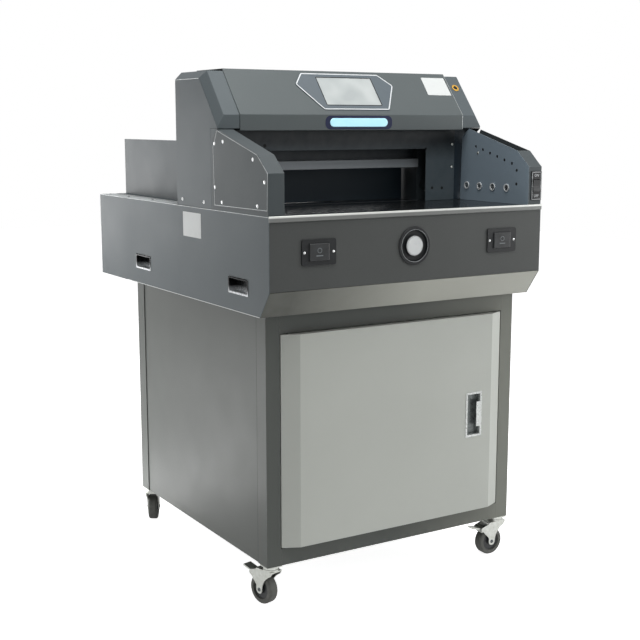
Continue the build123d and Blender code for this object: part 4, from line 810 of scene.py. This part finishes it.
# %% Cover plates and stickers
cover_outline = [(51, 1090), (2, 1050), (5, 967), (267, 965), (272, 1103), (250, 1143)]
cover_plate = [rounded(cover_outline, 3)]
cover_rim = [cover_outline, inset(cover_outline, 0.8)]
for side, word in sides:
    face = side_face(bed_side * side, side)
    trim("cover_plate_" + word, cover_plate, face, (0.0, 0.45), cover_enamel)
    trim("cover_edge_highlight_" + word, cover_rim, face, (0.45, 0.55), edge_highlight)
film_rise = (0.0, 0.25)
side_sticker = [rounded(box_outline((346, 877), (450, 939)), 2)]
trim("side_sticker", side_sticker, left_side, film_rise, white_film_and_highlight)
hood_sticker = [rounded([(253.8, 68.8), (331, 67.8), (331, 129), (255, 129)], 2)]
trim("hood_sticker", hood_sticker, hood_slope, film_rise, white_film_and_highlight)
print("both cover plates and the two stickers are on")


# %% [markdown]
# A sheet edge shows a line of one or two millimetres that catches the light. It is drawn as a
# painted highlight, a very thin pale plate on the face, which leaves the solids as they are. The
# strips beside the rear table are separate folded sheets.

# %% Painted highlights along sheet edges
line_rise = (0.0, 0.1)


def on_both_sides(name, outline, reach, heights, material, node="bed_covers"):
    """The same plate on the left and on the right, at a reach from the middle."""
    for side, word in sides:
        face = side_face(reach * side, side)
        trim(f"{name}_{word}", [outline], face, heights, material, node)


def edge_line(name, low, high, reach, material, rise=line_rise, node="bed_covers"):
    """A painted highlight along a straight sheet edge on both sides, between two corners given as
    depth and height.
    """
    on_both_sides(name, box_outline(low, high), reach, rise, material, node)


for side, word in sides:
    near, far = sorted((359 * side, 398 * side))
    strip = box_outline((near, 487), (far, 1027))
    face = level(table_top)
    trim("rear_strip_" + word, [strip], face, (0.0, 0.6), strip_enamel)
# Each of these lines is a painted highlight along a sheet edge
edge_line("guard_foot_edge", (489, 953.7), (1007, 955.6), 357, white_film_and_highlight, (0.0, 0.15))
edge_line("bed_top_edge", (2, 952.2), (1026, 953), bed_side, edge_highlight)
edge_line("bed_under_edge", (46, 720.2), (830, 721.8), bed_side, white_film_and_highlight)
edge_line("cap_top_edge", (348, 1266.7), (486, 1267.8), cap_side, edge_highlight, node="end_caps")
# The hood's right edge carries the same painted highlight, on the slope and on the front
hood_slope_line = [box_outline((336.8, 1), (337.6, 141))]
trim("hood_slope_edge", hood_slope_line, hood_slope, line_rise, edge_highlight)
hood_front_line = [box_outline((336.8, 1145), (337.6, 1179))]
hood_face = front_face(hood_front)
trim("hood_front_edge", hood_front_line, hood_face, line_rise, edge_highlight)
print("strips and sheet edges are drawn")


# %% [markdown]
# Two sheets that meet leave a dark seam, here beside each corner post. A small sheet closes the gap
# between a guard and the end cap behind it, and another, blue-black as a painted shade, fills the
# corner beside the portal plate.
# The carry cups have a rolled lip, which shows as a chrome line.

# %% Seams, closing sheets and cup lips
seam_width, seam_side = 0.8, 372.4
for end, depth in (("front", 114.0), ("rear", 782.2)):
    seam = [box_outline((depth, 106), (depth + seam_width, 718))]
    for side, word in sides:
        name = f"post_seam_{end}_{side}"
        face = side_face(seam_side * side, side)
        trim(name, seam, face, line_rise, gap_black, "cabinet_panels")
closing = [(281.3, 954), (286.5, 954), (286.5, 1146.5), (250, 1146.5), (276.5, 1126)]
behind = (-1.0, -0.2)
on_both_sides("guard_closing", closing, cap_side, behind, body_enamel, "end_caps")
filler_face = front_face(portal_front + 2)
lip_side, lip_half = 400.95, 49
for side, word in sides:
    near, far = sorted((338.5 * side, 397 * side))
    # The filler is blue-black, a painted shade in the corner beside the portal plate
    filler = [box_outline((near, 954), (far, 1146))]
    name = "portal_filler_" + word
    trim(name, filler, filler_face, (0.0, 0.3), fence_enamel, "front_plate")
    for end, depth in (("front", 150), ("rear", 715)):
        lip = [box_outline((depth - lip_half, 800.2), (depth + lip_half, 801.8))]
        cup_face = side_face(lip_side * side, side)
        trim(f"cup_lip_{end}_{side}", lip, cup_face, (-0.2, 0.05), chrome)
print("seams, closing sheets and cup lips are in place")


# %% [markdown]
# The screen sits in a film with a pale printed outline. A lamp bar glows under it, in a dark blue
# window with rounded ends. The outline follows the film's own corners at a constant distance.

# %% Screen outline, lamp window and cap ring
film_corners = [(-94, 15), (104, 15), (149, 97), (113, 134), (-121, 134), (-149, 97)]
film_top = 1.5
outline_rise, bezel_rise = (film_top, film_top + 0.3), (film_top, film_top + 0.25)
outline_loops = [rounded(inset(film_corners, 0.6), 8.4), rounded(inset(film_corners, 3.6), 5.4)]
trim("screen_outline", outline_loops, hood_slope, outline_rise, pale_print_and_highlight)
glass = box_outline((-80, 30.5), (86, 120.5))
bezel_loops = [rounded(inset(glass, -1.6), 3), rounded(inset(glass, 0.4), 1)]
trim("screen_bezel", bezel_loops, hood_slope, bezel_rise, gap_black)
window = [rounded(box_outline((-97, 1144.5), (106, 1178.5)), 14)]
trim("lamp_window", window, hood_face, (0.0, 0.3), window_navy)
ring_centre = (357.5, 95.5)
eye = circle_outline(ring_centre, 6)
ring = [circle_outline(ring_centre, 10.5), eye]
trim("cap_ring", ring, cap_slope, (0.0, 1.2), seal_yellow)
trim("cap_ring_eye", [eye], cap_slope, (0.0, 0.5), gap_black)
print("screen outline, lamp window and ring are in place")


# %% [markdown]
# Small openings are dark discs with nothing behind them. The lamp housings on the right guard are
# plated caps. The switch plate carries the two words that any mains switch has.

# %% Holes, caps and the words on the switch
hole_steps = 20
for i, (x, z, radius) in enumerate(((-252, 1105, 4.5), (264, 987, 4), (297, 986, 4))):
    hole = [circle_outline((x, z), radius, hole_steps)]
    trim(f"portal_hole_{i}", hole, portal_face, line_rise, gap_black)
for i, place in enumerate(((49, 1040), (49, 1005))):
    hole = [circle_outline(place, 4, hole_steps)]
    trim(f"guard_hole_{i}", hole, right_inner, line_rise, gap_black)
# The six sensor holes run down towards the front at an even pitch, each with a dark eye behind it
for i in range(6):
    eye = [circle_outline((217 - 29.6 * i, 1098 - 8.2 * i), 3.9, hole_steps)]
    trim(f"sensor_eye_{i}", eye, right_inner, (-8.0, -0.6), gap_black)
lamp_height, lamp_radius, core_radius = 993.5, 10, 7.5
for i, depth in enumerate((87, 143, 198, 252)):
    core = circle_outline((depth, lamp_height), core_radius)
    rim = [circle_outline((depth, lamp_height), lamp_radius), core]
    trim(f"lamp_rim_{i}", rim, right_inner, (0.0, 2.0), cap_silver)
    trim(f"lamp_core_{i}", [core], right_inner, (0.0, 1.0), fastener)
switch_face = front_face(0)
switch_edge = box_outline((368, 967), (398, 1037))
switch_loops = [rounded(switch_edge, 2), rounded(inset(switch_edge, 1), 1)]
trim("switch_outline", switch_loops, switch_face, (0.0, 0.2), pale_print_and_highlight)


# The letters stand this far out, and a capital is this share of a font's size
letter_rise, capital_share = 0.05, 0.7


def lettering(name, text, height_mm, centre, surface, material):
    """Flat raised letters, centred on a point of a face."""
    curve = bpy.data.curves.new(name, "FONT")
    curve.body = text
    curve.align_x = "CENTER"
    curve.align_y = "CENTER"
    curve.extrude = letter_rise
    curve.size = height_mm / capital_share
    writer = bpy.data.objects.new(name + "_writer", curve)
    bpy.context.scene.collection.objects.link(writer)
    bpy.context.view_layer.update()
    graph = bpy.context.evaluated_depsgraph_get()
    mesh = bpy.data.meshes.new_from_object(writer.evaluated_get(graph), depsgraph=graph)
    bpy.data.objects.remove(writer)
    for vertex in mesh.vertices:
        a, b, rise = vertex.co
        vertex.co = surface(centre[0] + a, centre[1] + b, rise + letter_rise)
    seat(add_piece(name, mesh, material), frame["nodes"]["bed_covers"]["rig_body"])


lettering("switch_on", "ON", 6.5, (383, 1028), switch_face, pale_print_and_highlight)
lettering("switch_off", "OFF", 6.5, (383, 976), switch_face, pale_print_and_highlight)
print("holes, caps and switch words are in place")


# %% [markdown]
# ## Screws from one node tree
# Every visible screw is the same pan head in a few sizes, so one Geometry Nodes tree makes them
# all. It squashes a sphere into a dome, cuts a cross into it, sets one on each point and turns each
# by a random angle, as a fitter leaves them. The tree is then turned into a plain mesh.

# %% The pan-head tree
def screw_tree():
    """A node tree that sets a pan-head screw on each point, along its facing attribute."""
    tree = bpy.data.node_groups.new("pan_heads", "GeometryNodeTree")
    sockets = (
        ("Points", "INPUT", "Geometry"),
        ("Head Radius", "INPUT", "Float"),
        ("Head Height", "INPUT", "Float"),
        ("Finish", "INPUT", "Material"),
        ("Screws", "OUTPUT", "Geometry"),
    )
    for name, way, kind in sockets:
        tree.interface.new_socket(name, in_out=way, socket_type="NodeSocket" + kind)
    given = add(tree, "NodeGroupInput").outputs
    radius, height = given["Head Radius"], given["Head Height"]
    squash = add(tree, "ShaderNodeMath", {}, {0: height, 1: radius}, operation="DIVIDE").outputs[0]
    ball = add(tree, "GeometryNodeMeshUVSphere", {"Segments": 28, "Rings": 14}, {"Radius": radius})
    shrink = add(tree, "ShaderNodeCombineXYZ", {"X": 1.0, "Y": 1.0}, {"Z": squash}).outputs[0]
    links = {"Geometry": ball.outputs["Mesh"], "Scale": shrink}
    dome = add(tree, "GeometryNodeTransform", {}, links)
    wide = add(tree, "ShaderNodeMath", {1: 1.15}, {0: radius}, operation="MULTIPLY").outputs[0]
    thin = add(tree, "ShaderNodeMath", {1: 0.24}, {0: radius}, operation="MULTIPLY").outputs[0]
    size = add(tree, "ShaderNodeCombineXYZ", {}, {"X": wide, "Y": thin, "Z": height}).outputs[0]
    bar = add(tree, "GeometryNodeMeshCube", {}, {"Size": size}).outputs["Mesh"]
    lift = add(tree, "ShaderNodeCombineXYZ", {}, {"Z": height}).outputs[0]
    lifted = {"Geometry": bar, "Translation": lift}
    across = add(tree, "GeometryNodeTransform", {}, lifted)
    along = add(tree, "GeometryNodeTransform", {"Rotation": (0.0, 0.0, math.pi / 2)}, lifted)
    cross = add(tree, "GeometryNodeMeshBoolean", operation="UNION", solver="EXACT")
    for part in (across, along):
        feed(tree, cross, {1: part.outputs["Geometry"]})
    cut = add(tree, "GeometryNodeMeshBoolean", operation="DIFFERENCE", solver="EXACT")
    feed(tree, cut, {0: dome.outputs["Geometry"], 1: cross.outputs["Mesh"]})
    position = add(tree, "GeometryNodeInputPosition").outputs[0]
    z = add(tree, "ShaderNodeSeparateXYZ", {}, {0: position}).outputs["Z"]
    under = add(tree, "FunctionNodeCompare", {"B": 0.0}, {"A": z}, operation="LESS_THAN")
    lower = {"Geometry": cut.outputs["Mesh"], "Selection": under.outputs[0]}
    head = add(tree, "GeometryNodeDeleteGeometry", {}, lower, domain="FACE")
    named = {"Name": "facing"}
    facing = add(tree, "GeometryNodeInputNamedAttribute", named, data_type="FLOAT_VECTOR")
    ways = {"Vector": facing.outputs[0]}
    aim = add(tree, "FunctionNodeAlignRotationToVector", {}, ways, axis="Z")
    # A fixed seed, so that each screw keeps its angle every time the lesson runs
    spin = add(tree, "FunctionNodeRandomValue", {"Seed": 0}, data_type="FLOAT")
    angle = [s for s in spin.outputs if s.enabled][0]
    [s for s in spin.inputs if s.enabled and s.name == "Max"][0].default_value = math.pi
    euler = add(tree, "ShaderNodeCombineXYZ", {}, {"Z": angle}).outputs[0]
    twist = add(tree, "FunctionNodeEulerToRotation", {}, {0: euler}).outputs[0]
    both = {0: aim.outputs[0], 1: twist}
    turned = add(tree, "FunctionNodeRotateRotation", {}, both, rotation_space="LOCAL").outputs[0]
    links = {"Points": given["Points"], "Instance": head.outputs[0], "Rotation": turned}
    placed = add(tree, "GeometryNodeInstanceOnPoints", {}, links)
    real = add(tree, "GeometryNodeRealizeInstances", {}, {0: placed.outputs[0]})
    links = {"Geometry": real.outputs[0], "Material": given["Finish"]}
    dressed = add(tree, "GeometryNodeSetMaterial", {}, links)
    add(tree, "NodeGroupOutput", {}, {0: dressed.outputs[0]})
    return tree


pan_heads = screw_tree()
print("the tree has", len(pan_heads.nodes), "nodes")


# %% [markdown]
# Screws are listed as two lengths on a face. A second point, a millimetre above the face, gives the
# way each one points. All the screws of one size on one body make one piece.

# %% Setting the screws
def screws(name, places, radius_mm, height_mm, material, node="bed_covers"):
    """Pan heads of one size at places given as (surface, a, b), riding with a solid's body."""
    seats = [surface(a, b) for surface, a, b in places]
    ways = [(surface(a, b, 1.0) - surface(a, b)).normalized() for surface, a, b in places]
    mesh = bpy.data.meshes.new(name)
    mesh.from_pydata(seats, [], [])
    facing = mesh.attributes.new("facing", "FLOAT_VECTOR", "POINT")
    facing.data.foreach_set("vector", [part for way in ways for part in way])
    piece = bpy.data.objects.new(name, mesh)
    bpy.context.scene.collection.objects.link(piece)
    maker = piece.modifiers.new("pan_heads", "NODES")
    maker.node_group = pan_heads
    values = {"Head Radius": mm(radius_mm), "Head Height": mm(height_mm), "Finish": material}
    for item in pan_heads.interface.items_tree:
        if item.name in values:
            maker[item.identifier] = values[item.name]
    plain_mesh(piece)
    piece.data.shade_smooth()
    piece.data.set_sharp_from_angle(angle=math.radians(35))
    print(name, len(piece.data.polygons), "faces")
    seat(piece, frame["nodes"][node]["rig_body"])


cover_top = bed_side + 0.4
cover_faces = [side_face(cover_top * side, side) for side, word in sides]
upper_places = ((264, 1112), (219, 1117), (71, 1079), (17, 1030))
lower_places = ((264, 1008), (228, 974), (51, 975))
cover_screws = [(face, v, z) for face in cover_faces for v, z in upper_places + lower_places]
screws("cover_screws", cover_screws, 4.6, 0.58, fastener)
cap_places = [(left_cap_side, v, z) for v, z in ((453, 970), (329, 969))]
screws("cap_screws", cap_places, 4.4, 1.9, fastener)
inner_places = [(portal_face, 330, 1103), (portal_face, 330, 1042), (right_inner, 208, 1081)]
screws("inner_screws", inner_places, 3.6, 1.6, zinc)
# The round controls stand 3 mm proud of the front, with their middles at this height
proud_face, control_height = front_face(-3), 869
button_edges = [270 * side + step for side, word in sides for step in (-39, 39)]
bezel_places = [(proud_face, x, control_height) for x in button_edges]
screws("bezel_screws", bezel_places, 3.1, 1.4, fastener)
strip_top = level(table_top + 0.6)
strip_places = [(strip_top, side * 379, v) for side, word in sides for v in (520, 690, 860, 1000)]
screws("strip_screws", strip_places, 3.4, 1.4, gap_black)


fork_half = 17


def axle_face(corner, sign):
    """The outer side of a caster fork, half a fork's width from the middle of its wheel."""
    way = Vector(axles["roll_" + corner]) * sign
    return lambda a, b, rise=0.0: wheel_middle(corner) + way * mm(fork_half + rise)


for corner in corners:
    ends = [(axle_face(corner, sign), 0, 0) for sign in (-1, 1)]
    screws("axle_bolts_" + corner, ends, 5.2, 2.2, table_steel, "fork_" + corner)
print("all screws are set")


# %% [markdown]
# ## Marks on the round and square controls
# The jog wheel has a thin pale line around its dish, a painted highlight on the dish's step, and a
# bright rim on its centre cap. Both turn with it, so they ride on its body.

# %% Jog wheel lines
hub = (0, control_height)
flush = (-0.1, 0.0)
dish_highlight = [circle_outline(hub, radius, 64) for radius in (39.3, 38.6)]
trim("wheel_dish_highlight", dish_highlight, proud_face, flush, pale_print_and_highlight, "wheel_rim")
cap_line = [circle_outline(hub, radius, 48) for radius in (23.4, 22.0)]
trim("wheel_cap_line", cap_line, proud_face, flush, chrome, "wheel_cap")
print("the jog wheel has its lines")


# %% [markdown]
# ## Floor, light and camera
# The machine stands in a bright white room. The floor and the room show white to the camera and in
# reflections, while the light on the machine itself stays plain, so its colours render as written.

# %% Floor and room
def seen_rays(tree):
    """The light path, and a socket that is 1 for the rays that show things to the eye."""
    ray = add(tree, "ShaderNodeLightPath").outputs
    links = {0: ray["Is Camera Ray"], 1: ray["Is Glossy Ray"]}
    seen = add(tree, "ShaderNodeMath", {}, links, operation="MAXIMUM").outputs[0]
    links = {0: seen, 1: ray["Is Transmission Ray"]}
    return ray, add(tree, "ShaderNodeMath", {}, links, operation="MAXIMUM").outputs[0]


floor_size = 14.0
bpy.ops.mesh.primitive_plane_add(size=floor_size, location=(0, 3, 0))
floor = bpy.context.object
floor.name = "studio_floor"
floor_material = bpy.data.materials.new("white_sweep")
floor_material.use_nodes = True
floor_tree = floor_material.node_tree
floor_shader = floor_tree.nodes["Principled BSDF"]
floor_shader.inputs["Base Color"].default_value = linear("f4f4f4")
floor_shader.inputs["Roughness"].default_value = 0.9
ray, seen = seen_rays(floor_tree)
# In reflections the floor glows less, so that the shade under the machine shows in the satin band
mirrored, gain = 0.35, 0.55
links = {0: ray["Is Camera Ray"]}
glow = add(floor_tree, "ShaderNodeMath", {1: gain, 2: mirrored}, links, operation="MULTIPLY_ADD")
emission = add(floor_tree, "ShaderNodeEmission", {}, {"Strength": glow.outputs[0]})
links = {0: floor_shader.outputs[0], 1: emission.outputs[0]}
glowing = add(floor_tree, "ShaderNodeAddShader", {}, links)
links = {0: seen, 1: floor_shader.outputs[0], 2: glowing.outputs[0]}
floor_mix = add(floor_tree, "ShaderNodeMixShader", {}, links)
feed(floor_tree, floor_tree.nodes["Material Output"], {"Surface": floor_mix.outputs[0]})
floor.data.materials.append(floor_material)

world = bpy.data.worlds.new("white_room")
bpy.context.scene.world = world
world.use_nodes = True
room = world.node_tree
room.nodes.clear()
ray, seen = seen_rays(room)
dim, bright = [
    add(room, "ShaderNodeBackground", {"Color": (1, 1, 1, 1), "Strength": strength}).outputs[0]
    for strength in (0.20, 1.0)
]
room_mix = add(room, "ShaderNodeMixShader", {}, {0: seen, 1: dim, 2: bright})
add(room, "ShaderNodeOutputWorld", {}, {"Surface": room_mix.outputs[0]})
print("floor and room are white to the eye")


# %% [markdown]
# Seven square softboxes light the machine, as in a studio: the strongest overhead, one on the
# right, a weak one on the left, two near the floor for the cabinet's side, and two behind.

# %% Softboxes
def softbox(name, place, target, size, power):
    """A square area lamp aimed at a point."""
    lamp = bpy.data.lights.new(name, "AREA")
    lamp.shape = "SQUARE"
    lamp.size = size
    lamp.energy = power
    holder = bpy.data.objects.new(name, lamp)
    holder.location = place
    holder.rotation_euler = (Vector(target) - Vector(place)).to_track_quat("-Z", "Y").to_euler()
    bpy.context.scene.collection.objects.link(holder)


softbox("left_softbox", (-3.0, 0.2, 0.9), (0, 0, 0.7), 1.6, 6)
softbox("low_softbox", (-1.05, 0.75, 0.06), (-0.36, 0.30, 0.0), 0.7, 6.3)
softbox("floor_softbox", (-0.70, 0.58, 0.01), (-0.70, 0.58, 1.0), 0.5, 3.6)
softbox("rim_softbox", (-1.0, 2.9, 0.9), (-0.4, 0.2, 0.7), 0.9, 17)
softbox("top_softbox", (-0.1, -1.0, 3.2), (0, 0, 0.9), 2.0, 72)
softbox("right_softbox", (2.2, -1.2, 1.0), (0.3, -0.4, 0.7), 1.2, 28)
softbox("back_softbox", (1.7, 3.2, 1.9), (0, 0.4, 0.7), 1.6, 16)
print("seven softboxes are lit")


# %% [markdown]
# ## The camera
# The camera stands where the photograph was taken from: low, in front of the left corner, with a
# lens long enough to keep the uprights nearly parallel. All three numbers came from matching edges.

# %% The camera, set at the photographed angle
camera_place = (mm(-1652.4), mm(-2780.4), mm(1159.7))
camera_turn = (math.radians(90 - 9.586), 0.0, math.radians(-31.4476))
camera_lens = 65.54
camera = bpy.data.cameras.new("camera")
camera.lens = camera_lens
camera.sensor_width = 36
camera_holder = bpy.data.objects.new("camera", camera)
camera_holder.location = camera_place
camera_holder.rotation_euler = camera_turn
bpy.context.scene.collection.objects.link(camera_holder)
bpy.context.scene.camera = camera_holder
bpy.context.scene.view_settings.view_transform = "Standard"
print("camera at", camera_place)
